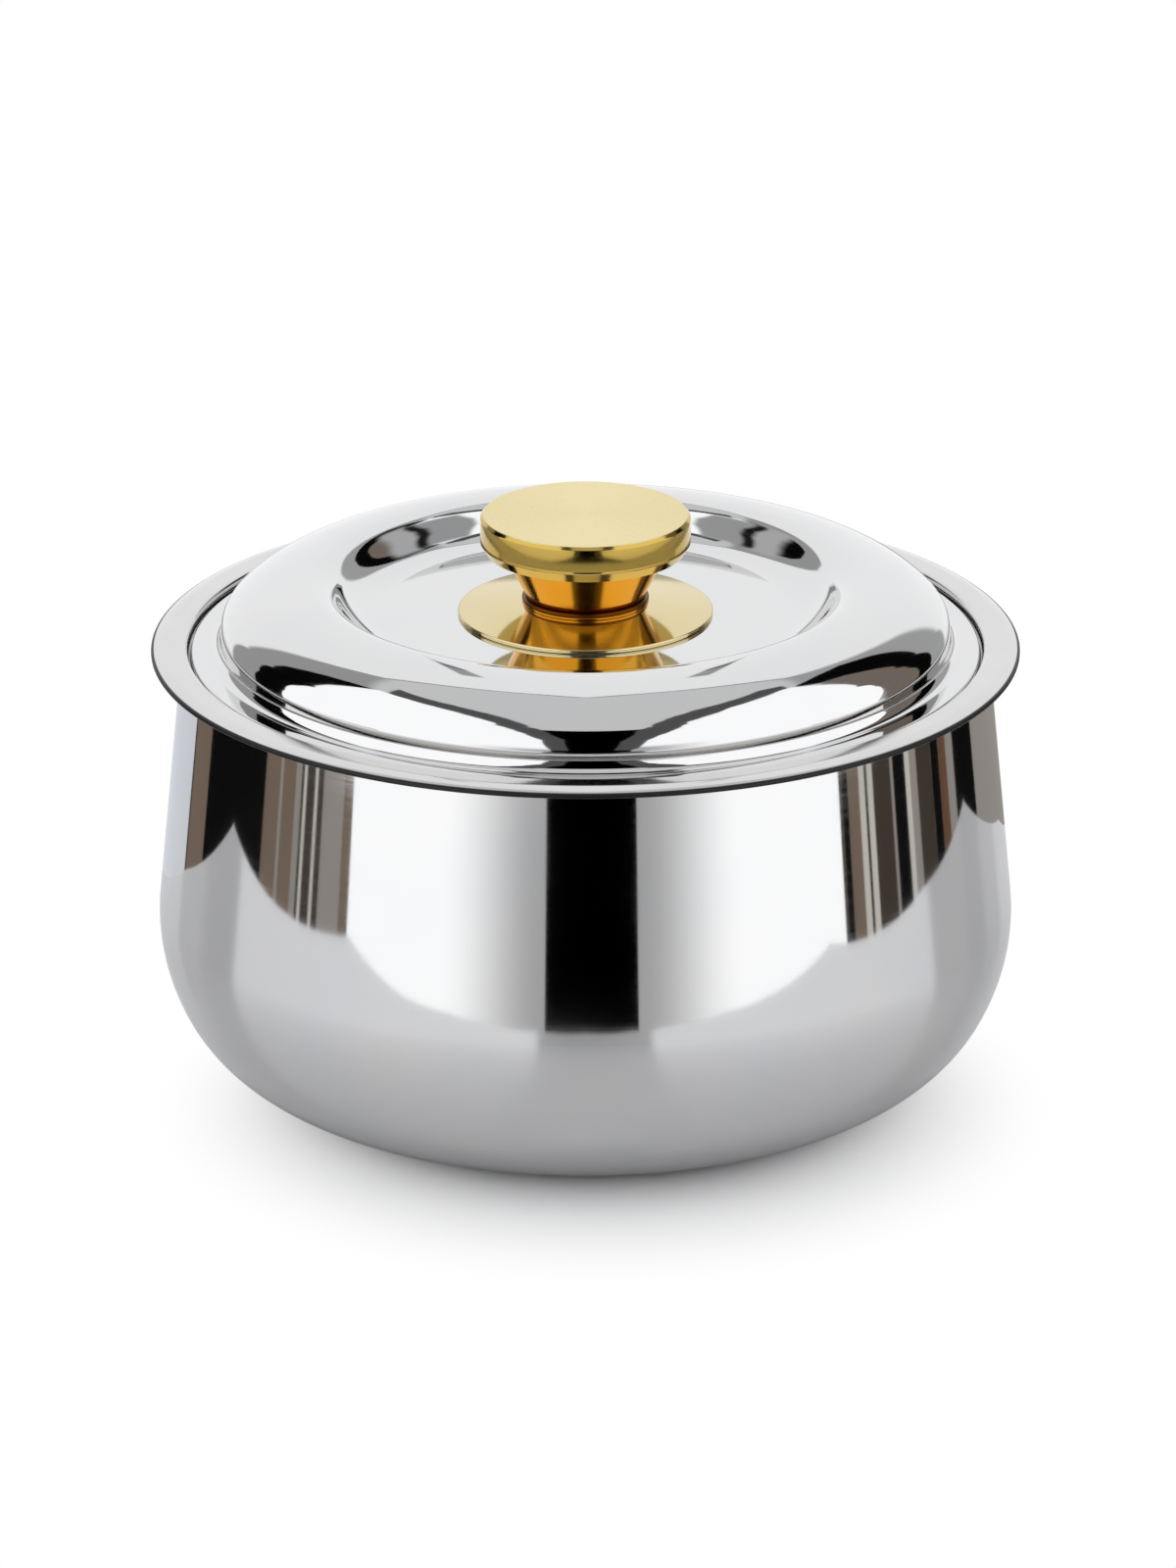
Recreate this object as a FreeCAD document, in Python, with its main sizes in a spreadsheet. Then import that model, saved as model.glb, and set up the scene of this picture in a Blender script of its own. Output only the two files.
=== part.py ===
import FreeCAD, Part
import math
import os
import re
import Sketcher

# An insulated chapati casserole: a spun steel belly shell and a deep steel bowl, seamed together at a
# rolled rim with foam between them, and a loose double-skinned lid with a sunken middle and a gold knob.
# Every piece is turned about one upright axis. Millimetres, +Z up. The origin is on the axis, in the
# plane of the flat ring that the casserole stands on.

os.makedirs("parts", exist_ok=True)
doc = FreeCAD.newDocument("ChapatiCasserole")
sheet = doc.addObject("Spreadsheet::Sheet", "Sizes")

# ---------------------------------------------------------------- sizes: name, value or formula, meaning
SIZES = (
    # whole body
    ("steel", "0.6", "thickness of every steel skin"),
    ("body_height", "125", "floor to the flat top of the rim"),
    ("neck_radius", "111.4", "outside of the belly shell just under the rim"),
    # belly shell: the outline runs through these corners, each of them rounded
    ("belly_swell", "8.7", "how far the belly corner stands out from the neck"),
    ("belly_corner_height", "36.5", "height of the belly corner"),
    ("base_taper", "18.1", "how far the base corner stands in from the belly corner"),
    ("base_share", "0.61", "part of the facet between them that the base rounding takes"),
    ("belly_share", "0.38", "part of the same facet that the belly rounding takes"),
    ("foot_width", "6.9", "width of the flat ring that it stands on"),
    ("foot_round", "1.5", "rounding inside that ring"),
    ("recess_run", "3.6", "width of the slope into the recessed base"),
    ("recess_height", "2.5", "depth of the recessed base"),
    ("recess_round", "2", "rounding at the top of the slope"),
    ("fill_hole_radius", "6", "hole that the foam is poured through"),
    ("neck_round", "1", "bend between the neck and the rim, outside"),
    ("belly_corner_radius", "=neck_radius + belly_swell", ""),
    ("base_corner_radius", "=belly_corner_radius - base_taper", ""),
    ("neck_level", "=body_height - 2 * steel", "underside of the two steel layers of the rim"),
    ("facet", "=sqrt(base_taper^2 + belly_corner_height^2)", "base corner to belly corner"),
    ("base_turn", "=atan2(belly_corner_height; base_taper)", "turn of the outline at the base corner"),
    ("neck_lean", "=atan2(belly_swell; neck_level - belly_corner_height)", "lean of the upper wall"),
    ("belly_turn", "=90 deg - base_turn + neck_lean", "turn of the outline at the belly corner"),
    ("base_round", "=base_share * facet / tan(base_turn / 2)", ""),
    ("belly_round", "=belly_share * facet / tan(belly_turn / 2)", ""),
    ("foot_inner_radius", "=base_corner_radius - base_share * facet - foot_width", ""),
    ("recess_radius", "=foot_inner_radius - recess_run", ""),
    # rolled rim
    ("rim_overhang", "8.6", "how far the rim stands out from the neck"),
    ("rim_fall", "1.25", "how far the rim falls towards its edge"),
    ("rim_fall_run", "2.6", "over this width"),
    ("crown_share", "0.645", "part of that slope that the rounding above it takes"),
    ("fold_inside", "0.25", "inside radius of every hemmed edge"),
    ("hem_width", "3.6", "width of the hem under the rim"),
    ("hem_gap", "0.1", "play between the layers of a hem"),
    ("seam_tail", "0.15", "straight end of the belly shell's flange inside the rolled edge"),
    ("rim_radius", "=neck_radius + rim_overhang", ""),
    ("rim_slope", "=atan2(rim_fall; rim_fall_run)", ""),
    ("rim_crown", "=crown_share * sqrt(rim_fall^2 + rim_fall_run^2) / tan(rim_slope / 2)", ""),
    ("edge_round", "=steel + fold_inside", "outside radius of every hemmed edge"),
    ("rim_lip", "=rim_fall + 3 * steel + hem_gap", "height of the rolled edge"),
    # bowl inside the shell
    ("wall_gap", "0.2", "play between the bowl's seat wall and the neck"),
    ("mouth_round", "1.5", "rounding from the rim's top into the mouth"),
    ("seat_depth", "3.6", "depth of the lid's seat below the rim"),
    ("seat_round", "0.9", "corner at the back of the seat"),
    ("seat_width", "5.2", "width of the ledge that the lid rests on"),
    ("throat_round", "2", "rounding from the seat into the bowl"),
    ("bowl_draft", "3", "how much narrower the bowl is at its floor"),
    ("bowl_round", "28", "rounding between the bowl's wall and floor"),
    ("floor_foam", "8.1", "foam under the bowl's floor"),
    ("foam_gap", "0.1", "play between foam and steel"),
    ("foam_play", "0.5", "play between foam and fill plug"),
    ("foam_drop", "4", "top of the body's foam below the lid's seat"),
    ("mouth_radius", "=neck_radius - 2 * steel - wall_gap", ""),
    ("seat_level", "=body_height - seat_depth", ""),
    ("throat_radius", "=mouth_radius - seat_width", ""),
    ("bowl_corner_radius", "=throat_radius - bowl_draft", ""),
    ("floor_level", "=recess_height + steel + floor_foam + steel", ""),
    # lid: heights above its flange
    ("lid_side_gap", "1", "play between the lid's edge and the wall round its seat"),
    ("lid_hem_width", "3", "width of the hem under the lid's flange"),
    ("lid_flange_width", "8.2", "flange outside the dome"),
    ("dome_foot_radius", "3.35", "rounding between flange and dome, where the dome's side allows"),
    ("shoulder_rise", "8.6", "height of the dome's shoulder corner"),
    ("shoulder_run", "12", "shoulder corner to the outer crest corner"),
    ("crest_rise", "19.4", "height of the dome's crest"),
    ("crest_width", "17", "outer to inner crest corner"),
    ("well_wall_run", "8.3", "inner crest corner to the well's corner"),
    ("well_rise", "9.5", "height of the sunken middle"),
    ("foot_side_share", "0.39", "part of the dome's side that the rounding at its foot may take"),
    ("shoulder_side_share", "0.6", "part of the dome's side that the shoulder's rounding may take"),
    ("shoulder_brow_share", "0.23", "part of the brow, shoulder to crest, that it may take"),
    ("crest_brow_share", "0.75", "part of the brow that the crest's rounding may take"),
    ("crest_flat_share", "0.7", "part of the crest's width that it may take"),
    ("inner_flat_share", "0.27", "part of the crest's width that the well's upper rounding may take"),
    ("inner_wall_share", "0.37", "part of the well's wall that it may take"),
    ("well_wall_share", "0.51", "part of the well's wall that its lower rounding takes"),
    ("lid_lip", "=3 * steel + 2 * hem_gap", "height of the lid's hemmed edge"),
    ("lid_radius", "=mouth_radius - lid_side_gap", ""),
    ("flange_level", "=seat_level + lid_lip", "top of the lid's flange"),
    ("dome_radius", "=lid_radius - lid_flange_width", ""),
    ("crest_outer_radius", "=dome_radius - shoulder_run", ""),
    ("crest_inner_radius", "=crest_outer_radius - crest_width", ""),
    ("well_radius", "=crest_inner_radius - well_wall_run", ""),
    ("shoulder_level", "=flange_level + shoulder_rise", ""),
    ("crest_level", "=flange_level + crest_rise", ""),
    ("well_level", "=flange_level + well_rise", ""),
    ("dome_foot_round", "=min(dome_foot_radius; foot_side_share * shoulder_rise)", ""),
    ("brow_length", "=sqrt(shoulder_run^2 + (crest_rise - shoulder_rise)^2)", "shoulder to crest corner"),
    ("brow_turn", "=atan2(crest_rise - shoulder_rise; shoulder_run)", "turn at the outer crest corner"),
    ("well_turn", "=atan2(crest_rise - well_rise; well_wall_run)", "turn into the well and out of it"),
    ("well_wall", "=sqrt(well_wall_run^2 + (crest_rise - well_rise)^2)", "slope from crest to well"),
    ("shoulder_tangent", "=min(shoulder_side_share * shoulder_rise; shoulder_brow_share * brow_length)", ""),
    ("crest_tangent", "=min(crest_flat_share * crest_width; crest_brow_share * brow_length)", ""),
    ("inner_tangent", "=min(inner_flat_share * crest_width; inner_wall_share * well_wall)", ""),
    ("well_tangent", "=well_wall_share * well_wall", ""),
    ("shoulder_round", "=shoulder_tangent / tan((90 deg - brow_turn) / 2)", ""),
    ("crest_round", "=crest_tangent / tan(brow_turn / 2)", ""),
    ("inner_round", "=inner_tangent / tan(well_turn / 2)", ""),
    ("well_round", "=well_tangent / tan(well_turn / 2)", ""),
    # pan: the lid's inner skin
    ("pan_side_gap", "0.8", "play between the pan and the bowl's throat"),
    ("pan_depth", "8.4", "pan below the lid's seat"),
    ("pan_draft", "1.4", "how much narrower the pan is at its floor"),
    ("pan_round", "6", "rounding round the pan's floor"),
    ("pan_neck_round", "1", "bend between the pan and its flange"),
    ("pan_radius", "=throat_radius - pan_side_gap", ""),
    ("pan_level", "=seat_level - pan_depth", ""),
    ("pan_flange_level", "=seat_level + steel + hem_gap", ""),
    ("foam_foot_share", "0.93", "part of the room outside the dome that the foam's rounding there may take"),
    ("foam_foot_room", "=pan_radius - steel - foam_gap - dome_radius", "from the dome to the foam's side"),
    ("foam_foot_round", "=min(dome_foot_round; foam_foot_share * foam_foot_room)", ""),
    # fill plug
    ("plug_head_radius", "9", ""),
    ("plug_head_height", "1.1", ""),
    ("plug_head_round", "0.55", "rounding under the head"),
    ("plug_barb", "0.5", "how far the plug's barb stands out above the steel"),
    ("plug_taper", "1.5", "how much narrower than its barb the plug's tip is"),
    ("plug_height", "3.2", "plug above the steel"),
    ("plug_play", "0.1", "play between plug and hole"),
    # knob
    ("screw_radius", "3", "shank of the knob's screw"),
    ("screw_play", "0.2", "play of the screw in the holes that it passes"),
    ("thread_play", "0.05", "play of the screw in its insert"),
    ("rosette_radius", "35.2", ""),
    ("rosette_edge", "1.2", "thickness of the rosette's edge"),
    ("rosette_rise", "3.5", "height of the rosette under the stem"),
    ("rosette_round", "0.5", "rounding of the rosette's edge"),
    ("rosette_floor", "2", "rosette round the screw"),
    ("stem_foot_radius", "17.5", "bead at the stem's foot"),
    ("stem_waist_radius", "16.2", "stem just above the bead"),
    ("stem_top_radius", "22.9", ""),
    ("stem_height", "14.7", ""),
    ("stem_bead", "1.8", "height of the bead"),
    ("stem_bead_round", "0.5", "rounding of the bead's edges"),
    ("stem_wall", "1.8", ""),
    ("spigot_play", "0.1", "play between a centring ring and the stem"),
    ("spigot_width", "1.5", "thickness of each centring ring"),
    ("spigot_height", "1.2", "height of each centring ring"),
    ("cap_radius", "29", ""),
    ("cap_height", "7.1", "side band and top together"),
    ("cap_wall", "1", ""),
    ("cap_bevel", "0.9", "polished bevel round the top"),
    ("cap_lip_inset", "1.6", "how far the cap's underside stands in from its side"),
    ("cap_base_height", "3.3", "height of the cap's base below the band"),
    ("cap_base_floor", "2.4", "thickness of the cap's base in the middle"),
    ("cap_base_edge", "2.6", "height where its flare ends"),
    ("groove_height", "0.4", "thin groove under the band"),
    ("groove_depth", "0.6", ""),
    ("cap_spigot_height", "2.2", "ring of the base that stands in the cap"),
    ("insert_radius", "5", "threaded insert's body"),
    ("insert_flange_radius", "8.5", ""),
    ("insert_flange_height", "2.2", ""),
    ("insert_drop", "6", "insert below the cap's base"),
    ("washer_radius", "12", "backing washer"),
    ("washer_height", "1.2", ""),
    ("spring_radius", "5.6", "spring washer"),
    ("spring_height", "1.4", ""),
    ("spring_sweep", "350", "degrees that the spring washer goes round"),
    ("head_radius", "5.8", "screw head"),
    ("head_height", "3.4", ""),
    ("head_round", "1.2", ""),
    ("screw_short", "1", "screw's end below the top of its insert"),
    ("pocket_play", "1.5", "room in the lid's foam round the screw's head and washer"),
    ("stem_level", "=well_level + rosette_rise", ""),
    ("cap_base_level", "=stem_level + stem_height", ""),
    ("band_level", "=cap_base_level + cap_base_height", ""),
    ("cap_level", "=band_level + cap_height", "top of the knob"),
    ("screw_hole_radius", "=screw_radius + screw_play", ""),
    ("cap_inner_radius", "=cap_radius - cap_wall", ""),
    ("cap_lip_radius", "=cap_radius - cap_lip_inset", ""),
    ("stem_lean", "=(stem_top_radius - stem_waist_radius) / (stem_height - stem_bead)", "cone of the stem"),
    ("stem_bore_radius", "=stem_waist_radius - stem_lean * stem_bead - stem_wall", "bore at the stem's foot"),
    ("cap_spigot_radius", "=stem_top_radius - stem_wall - stem_lean * spigot_height - spigot_play",
     "ring under the cap's base, clear of the stem's bore"),
    ("insert_floor", "=cap_base_level + cap_base_floor", ""),
    ("insert_top", "=insert_floor + insert_flange_height", ""),
    ("washer_top", "=well_level - steel", ""),
    ("spring_top", "=washer_top - washer_height", ""),
    ("head_top", "=spring_top - spring_height", ""),
    ("head_floor", "=head_top - head_height", ""),
)

for row, (alias, content, meaning) in enumerate(SIZES, start=1):
    sheet.set(f"A{row}", alias.replace("_", " "))
    sheet.set(f"B{row}", content)
    sheet.set(f"C{row}", meaning)
    sheet.setAlias(f"B{row}", alias)
doc.recompute()
ALIASES = {alias for alias, _, _ in SIZES}


def value(expression):
    """The number that an expression of the sizes comes to, such as 'rim_radius - steel'."""
    result = sheet.evalExpression(expression)
    return float(getattr(result, "Value", result))


def bound(expression):
    """The same expression as a constraint or a property needs it, with the sheet named before each size."""
    return re.sub(r"[a-z_]+", lambda word: f"Sizes.{word[0]}" if word[0] in ALIASES else word[0], expression)


# ---------------------------------------------------------------- sketching helpers
LINE_START, LINE_END, CENTRE = range(1, 4)
HORIZONTAL_AXIS, VERTICAL_AXIS = range(-1, -3, -1)


def new_body(label):
    """A body of its own for one piece; its label names the piece's file."""
    body = doc.addObject("PartDesign::Body", label)
    body.Label = label
    return body


def new_sketch(body, name):
    """A sketch in the body's XZ plane, where x is the distance from the axis and y is the height."""
    sketch = body.newObject("Sketcher::SketchObject", name)
    plane = next(item for item in body.Origin.OriginFeatures if item.Role == "XZ_Plane")
    sketch.AttachmentSupport = (plane, [""])
    sketch.MapMode = "FlatFace"
    return sketch


def drive(sketch, constraint, expression):
    """Add a constraint with a number and bind the number to the sizes."""
    index = sketch.addConstraint(constraint)
    sketch.setExpression(f"Constraints[{index}]", bound(expression))


def pin(sketch, item, end, across, up):
    """Hold a point at a distance from the axis and at a height; None leaves that direction free."""
    if across == "0":
        sketch.addConstraint(Sketcher.Constraint("PointOnObject", item, end, VERTICAL_AXIS))
    elif across is not None:
        drive(sketch, Sketcher.Constraint("DistanceX", item, end, value(across)), across)
    if up == "0":
        sketch.addConstraint(Sketcher.Constraint("PointOnObject", item, end, HORIZONTAL_AXIS))
    elif up is not None:
        drive(sketch, Sketcher.Constraint("DistanceY", item, end, value(up)), up)


def left_of(direction):
    """The direction a quarter turn to the left."""
    return FreeCAD.Vector(-direction.y, direction.x, 0)


def add_line(sketch, start, end, construction=False):
    return sketch.addGeometry(Part.LineSegment(start, end), construction)


def add_arc(sketch, centre, start, end, turns_left, construction=False):
    """An arc from start to end. Sketched arcs run to the left, so one that turns right is stored reversed."""
    first, last = (start, end) if turns_left else (end, start)
    angles = [math.atan2(point.y - centre.y, point.x - centre.x) for point in (first, last)]
    if angles[1] < angles[0]:
        angles[1] += 2 * math.pi
    circle = Part.Circle(centre, FreeCAD.Vector(0, 0, 1), centre.distanceToPoint(start))
    return sketch.addGeometry(Part.ArcOfCircle(circle, angles[0], angles[1]), construction)


def arc_ends(turns_left):
    """The arc's own numbers for the ends where the outline enters and leaves it."""
    return (LINE_START, LINE_END) if turns_left else (LINE_END, LINE_START)


def trace(sketch, corners, closed=False, construction=False):
    """Draw straight lines from corner to corner and round each corner that names a rounding.

    A corner is (distance from the axis, height) or (distance, height, rounding), in expressions of the
    sizes. Returns the lines and arcs in order, as dictionaries.
    """
    spots = [FreeCAD.Vector(value(corner[0]), value(corner[1]), 0) for corner in corners]
    roundings = [corner[2] if len(corner) > 2 else None for corner in corners]
    count = len(corners)
    arrivals, departures, turns, centres = list(spots), list(spots), [True] * count, [None] * count
    for index in range(count):
        if roundings[index] is None:
            continue
        spot = spots[index]
        before = (spot - spots[index - 1]).normalize()
        after = (spots[(index + 1) % count] - spot).normalize()
        turn = math.atan2(before.x * after.y - before.y * after.x, before.dot(after))
        radius = value(roundings[index])
        reach = radius * math.tan(abs(turn) / 2)
        turns[index] = turn > 0
        arrivals[index] = spot - before * reach
        departures[index] = spot + after * reach
        centres[index] = arrivals[index] + left_of(before) * (radius if turn > 0 else -radius)

    lines = count if closed else count - 1
    line_items = [add_line(sketch, departures[index], arrivals[(index + 1) % count], construction)
                  for index in range(lines)]
    pieces = []
    for index in range(count):
        into = line_items[index - 1] if closed or index > 0 else None
        out = line_items[index] if index < lines else None
        across, up = corners[index][:2]
        if centres[index] is not None:
            arc = add_arc(sketch, centres[index], arrivals[index], departures[index], turns[index],
                          construction)
            enter, leave = arc_ends(turns[index])
            sketch.addConstraint(Sketcher.Constraint("Tangent", into, LINE_END, arc, enter))
            sketch.addConstraint(Sketcher.Constraint("Tangent", arc, leave, out, LINE_START))
            drive(sketch, Sketcher.Constraint("Radius", arc, value(roundings[index])), roundings[index])
            point = sketch.addGeometry(Part.Point(spots[index]), True)
            pin(sketch, point, LINE_START, across, up)
            sketch.addConstraint(Sketcher.Constraint("PointOnObject", point, LINE_START, into))
            sketch.addConstraint(Sketcher.Constraint("PointOnObject", point, LINE_START, out))
            pieces.append({"kind": "arc", "item": arc, "left": turns[index], "rounding": roundings[index],
                           "centre": centres[index], "start": arrivals[index], "end": departures[index]})
        else:
            if into is not None and out is not None:
                sketch.addConstraint(Sketcher.Constraint("Coincident", into, LINE_END, out, LINE_START))
            item, end = (out, LINE_START) if out is not None else (into, LINE_END)
            pin(sketch, item, end, across, up)
        if out is not None:
            pieces.append({"kind": "line", "item": out, "start": departures[index],
                           "end": arrivals[(index + 1) % count]})
    return pieces


def beside(sketch, pieces, gap):
    """Draw the outline that runs beside another one at a gap to its left, round the same arc centres."""
    distance = value(gap)
    copies = []
    for piece in pieces:
        if piece["kind"] == "line":
            shift = left_of((piece["end"] - piece["start"]).normalize()) * distance
            line = add_line(sketch, piece["start"] + shift, piece["end"] + shift)
            copies.append({"kind": "line", "item": line})
        else:
            sign = -1 if piece["left"] else 1
            radius = value(piece["rounding"]) + sign * distance
            ends = [piece["centre"] + (piece[name] - piece["centre"]).normalize() * radius
                    for name in ("start", "end")]
            arc = add_arc(sketch, piece["centre"], ends[0], ends[1], piece["left"])
            sketch.addConstraint(Sketcher.Constraint("Coincident", arc, CENTRE, piece["item"], CENTRE))
            grown = f"({piece['rounding']}) {'-' if sign < 0 else '+'} ({gap})"
            drive(sketch, Sketcher.Constraint("Radius", arc, radius), grown)
            copies.append({"kind": "arc", "item": arc, "left": piece["left"]})
    for one, two in zip(copies, copies[1:]):
        leaving = LINE_END if one["kind"] == "line" else arc_ends(one["left"])[1]
        entering = LINE_START if two["kind"] == "line" else arc_ends(two["left"])[0]
        sketch.addConstraint(Sketcher.Constraint("Tangent", one["item"], leaving, two["item"], entering))
    for index in (0, -1):
        sketch.addConstraint(Sketcher.Constraint("Parallel", copies[index]["item"], pieces[index]["item"]))
    return copies


def bridge(sketch, one, one_end, corners, two, two_end):
    """Straight lines from one drawn end to another by way of corners."""
    points = [FreeCAD.Vector(value(across), value(up), 0) for across, up in corners]
    points = [sketch.getPoint(one, one_end)] + points + [sketch.getPoint(two, two_end)]
    lines = [add_line(sketch, start, end) for start, end in zip(points, points[1:])]
    for line, (across, up) in zip(lines[1:], corners):
        pin(sketch, line, LINE_START, across, up)
    joints = [(one, one_end)] + [(line, LINE_END) for line in lines]
    for line, (item, end) in zip(lines, joints):
        sketch.addConstraint(Sketcher.Constraint("Coincident", item, end, line, LINE_START))
    sketch.addConstraint(Sketcher.Constraint("Coincident", lines[-1], LINE_END, two, two_end))
    return lines


def skin_profile(body, name, corners):
    """The section of a spun steel skin: an outline, the same outline a steel's thickness to its left, and
    square ends, or an end on the axis."""
    sketch = new_sketch(body, name)
    outline = trace(sketch, corners)
    other = beside(sketch, outline, "steel")
    for index, end, corner in ((0, LINE_START, corners[0]), (-1, LINE_END, corners[-1])):
        edge = bridge(sketch, outline[index]["item"], end, [], other[index]["item"], end)[0]
        if corner[0] == "0":
            pin(sketch, other[index]["item"], end, "0", None)
        else:
            sketch.addConstraint(Sketcher.Constraint("Perpendicular", edge, outline[index]["item"]))
    return sketch


def solid_profile(body, name, corners):
    """The closed section of a solid piece."""
    sketch = new_sketch(body, name)
    trace(sketch, corners, closed=True)
    return sketch


def turn(body, sketch, name, sweep=None):
    """Turn a section about the upright axis, all the way round or through a sweep in degrees."""
    revolution = body.newObject("PartDesign::Revolution", name)
    revolution.Profile = sketch
    revolution.ReferenceAxis = (sketch, ["V_Axis"])
    revolution.Angle = 360 if sweep is None else value(sweep)
    if sweep is not None:
        revolution.setExpression("Angle", bound(sweep))
    sketch.Visibility = False
    body.Tip = revolution
    return body


# ---------------------------------------------------------------- outlines that more than one piece follows
BELLY = [
    ("recess_radius", "recess_height", "recess_round"),
    ("foot_inner_radius", "0", "foot_round"),
    ("base_corner_radius", "0", "base_round"),
    ("belly_corner_radius", "belly_corner_height", "belly_round"),
]
NECK = ("neck_radius", "neck_level", "neck_round")
BOWL = [
    ("throat_radius", "seat_level", "throat_round"),
    ("bowl_corner_radius", "floor_level", "bowl_round"),
    ("0", "floor_level"),
]
DOME = [
    ("dome_radius", "flange_level", "dome_foot_round"),
    ("dome_radius", "shoulder_level", "shoulder_round"),
    ("crest_outer_radius", "crest_level", "crest_round"),
    ("crest_inner_radius", "crest_level", "inner_round"),
    ("well_radius", "well_level", "well_round"),
]
PAN = [
    ("0", "pan_level"),
    ("pan_radius - pan_draft", "pan_level", "pan_round"),
    ("pan_radius", "pan_flange_level", "pan_neck_round"),
]


# ---------------------------------------------------------------- body of the casserole
def make_outer_shell():
    """Belly shell: recessed base, standing ring, belly, neck and a flange that the rim is rolled over."""
    body = new_body("outer_shell")
    flange_bend = "rim_radius - rim_fall_run - 2 * steel * tan(rim_slope / 2)"
    tail = "((rim_crown - 2 * steel) * tan(rim_slope / 2) + seam_tail)"
    corners = [("fill_hole_radius", "recess_height")] + BELLY + [
        NECK,
        (flange_bend, "neck_level", "rim_crown - 2 * steel"),
        (f"{flange_bend} + {tail} * cos(rim_slope)", f"neck_level - {tail} * sin(rim_slope)"),
    ]
    return turn(body, skin_profile(body, "shell_section", corners), "shell_spinning")


def make_liner_bowl():
    """Bowl: hem under the rim, rolled edge, flat rim, the lid's seat, wall and floor."""
    body = new_body("liner_bowl")
    corners = [
        ("rim_radius - hem_width", "body_height - rim_lip"),
        ("rim_radius", "body_height - rim_lip", "edge_round"),
        ("rim_radius", "body_height - rim_fall", "edge_round"),
        ("rim_radius - rim_fall_run", "body_height", "rim_crown"),
        ("mouth_radius", "body_height", "mouth_round"),
        ("mouth_radius", "seat_level", "seat_round"),
    ] + BOWL
    return turn(body, skin_profile(body, "bowl_section", corners), "bowl_spinning")


def make_body_insulation():
    """Foam between shell and bowl, up to just below the lid's seat, with room for the fill plug."""
    body = new_body("body_insulation")
    sketch = new_sketch(body, "body_foam_section")
    pocket_radius = "fill_hole_radius + plug_barb + foam_play"
    pocket_level = "recess_height + steel + plug_height + foam_play"
    shell = trace(sketch, [("0", "recess_height")] + BELLY + [NECK[:2]], construction=True)
    bowl = trace(sketch, [BOWL[0][:2]] + BOWL[1:], construction=True)
    outside = beside(sketch, shell, "steel + foam_gap")
    inside = beside(sketch, bowl, "steel + foam_gap")
    pin(sketch, outside[0]["item"], LINE_START, pocket_radius, None)
    pin(sketch, outside[-1]["item"], LINE_END, None, "seat_level - foam_drop")
    pin(sketch, inside[0]["item"], LINE_START, None, "seat_level - foam_drop")
    pin(sketch, inside[-1]["item"], LINE_END, "0", None)
    bridge(sketch, outside[-1]["item"], LINE_END, [], inside[0]["item"], LINE_START)
    pocket = [("0", pocket_level), (pocket_radius, pocket_level)]
    bridge(sketch, inside[-1]["item"], LINE_END, pocket, outside[0]["item"], LINE_START)
    return turn(body, sketch, "body_foam")


def make_fill_plug():
    """Snap plug that closes the foam's filling hole from below."""
    body = new_body("fill_plug")
    corners = [
        ("0", "recess_height - plug_head_height"),
        ("plug_head_radius", "recess_height - plug_head_height", "plug_head_round"),
        ("plug_head_radius", "recess_height"),
        ("fill_hole_radius - plug_play", "recess_height"),
        ("fill_hole_radius - plug_play", "recess_height + steel + plug_play"),
        ("fill_hole_radius + plug_barb", "recess_height + steel + plug_play"),
        ("fill_hole_radius + plug_barb - plug_taper", "recess_height + steel + plug_height"),
        ("0", "recess_height + steel + plug_height"),
    ]
    return turn(body, solid_profile(body, "plug_section", corners), "plug_turning")


# ---------------------------------------------------------------- lid
def make_lid_outer_skin():
    """Lid's outer skin: hem, flange, dome, sunken middle and the hole for the knob's screw."""
    body = new_body("lid_outer_skin")
    corners = [
        ("lid_radius - lid_hem_width", "seat_level"),
        ("lid_radius", "seat_level", "edge_round"),
        ("lid_radius", "flange_level", "edge_round"),
    ] + DOME + [("screw_hole_radius", "well_level")]
    return turn(body, skin_profile(body, "dome_section", corners), "dome_spinning")


def make_lid_inner_skin():
    """Lid's inner skin: a shallow pan that centres the lid in the bowl's throat, its flange in the hem."""
    body = new_body("lid_inner_skin")
    corners = PAN + [("lid_radius - steel - fold_inside - hem_gap", "pan_flange_level")]
    return turn(body, skin_profile(body, "pan_section", corners), "pan_spinning")


def make_lid_insulation():
    """Foam between the lid's skins, with a pocket for the screw's head and washers."""
    body = new_body("lid_insulation")
    sketch = new_sketch(body, "lid_foam_section")
    pocket_radius = "washer_radius + pocket_play"
    pocket_level = "head_floor - pocket_play"
    foot = [("lid_radius", "flange_level"), ("dome_radius", "flange_level", "foam_foot_round")]
    dome = trace(sketch, foot + DOME[1:] + [("0", "well_level")], construction=True)
    pan = trace(sketch, PAN[:2] + [PAN[2][:2]], construction=True)
    above = beside(sketch, dome, "steel + foam_gap")
    below = beside(sketch, pan, "steel + foam_gap")
    pin(sketch, below[0]["item"], LINE_START, "0", None)
    pin(sketch, above[-1]["item"], LINE_END, pocket_radius, None)
    corner = [below[-1]["item"], LINE_END, above[0]["item"], LINE_START]
    sketch.addConstraint(Sketcher.Constraint("Coincident", *corner))
    pocket = [(pocket_radius, pocket_level), ("0", pocket_level)]
    bridge(sketch, above[-1]["item"], LINE_END, pocket, below[0]["item"], LINE_START)
    return turn(body, sketch, "lid_foam")


# ---------------------------------------------------------------- knob, from the top down
def make_knob_cap():
    """Drawn cup: flat satin top, polished bevel and side band."""
    body = new_body("knob_cap")
    corners = [
        ("0", "cap_level"),
        ("0", "cap_level - cap_wall"),
        ("cap_inner_radius", "cap_level - cap_wall"),
        ("cap_inner_radius", "band_level"),
        ("cap_radius", "band_level"),
        ("cap_radius", "cap_level - cap_bevel"),
        ("cap_radius - cap_bevel", "cap_level"),
    ]
    return turn(body, solid_profile(body, "cap_section", corners), "cap_turning")


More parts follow.
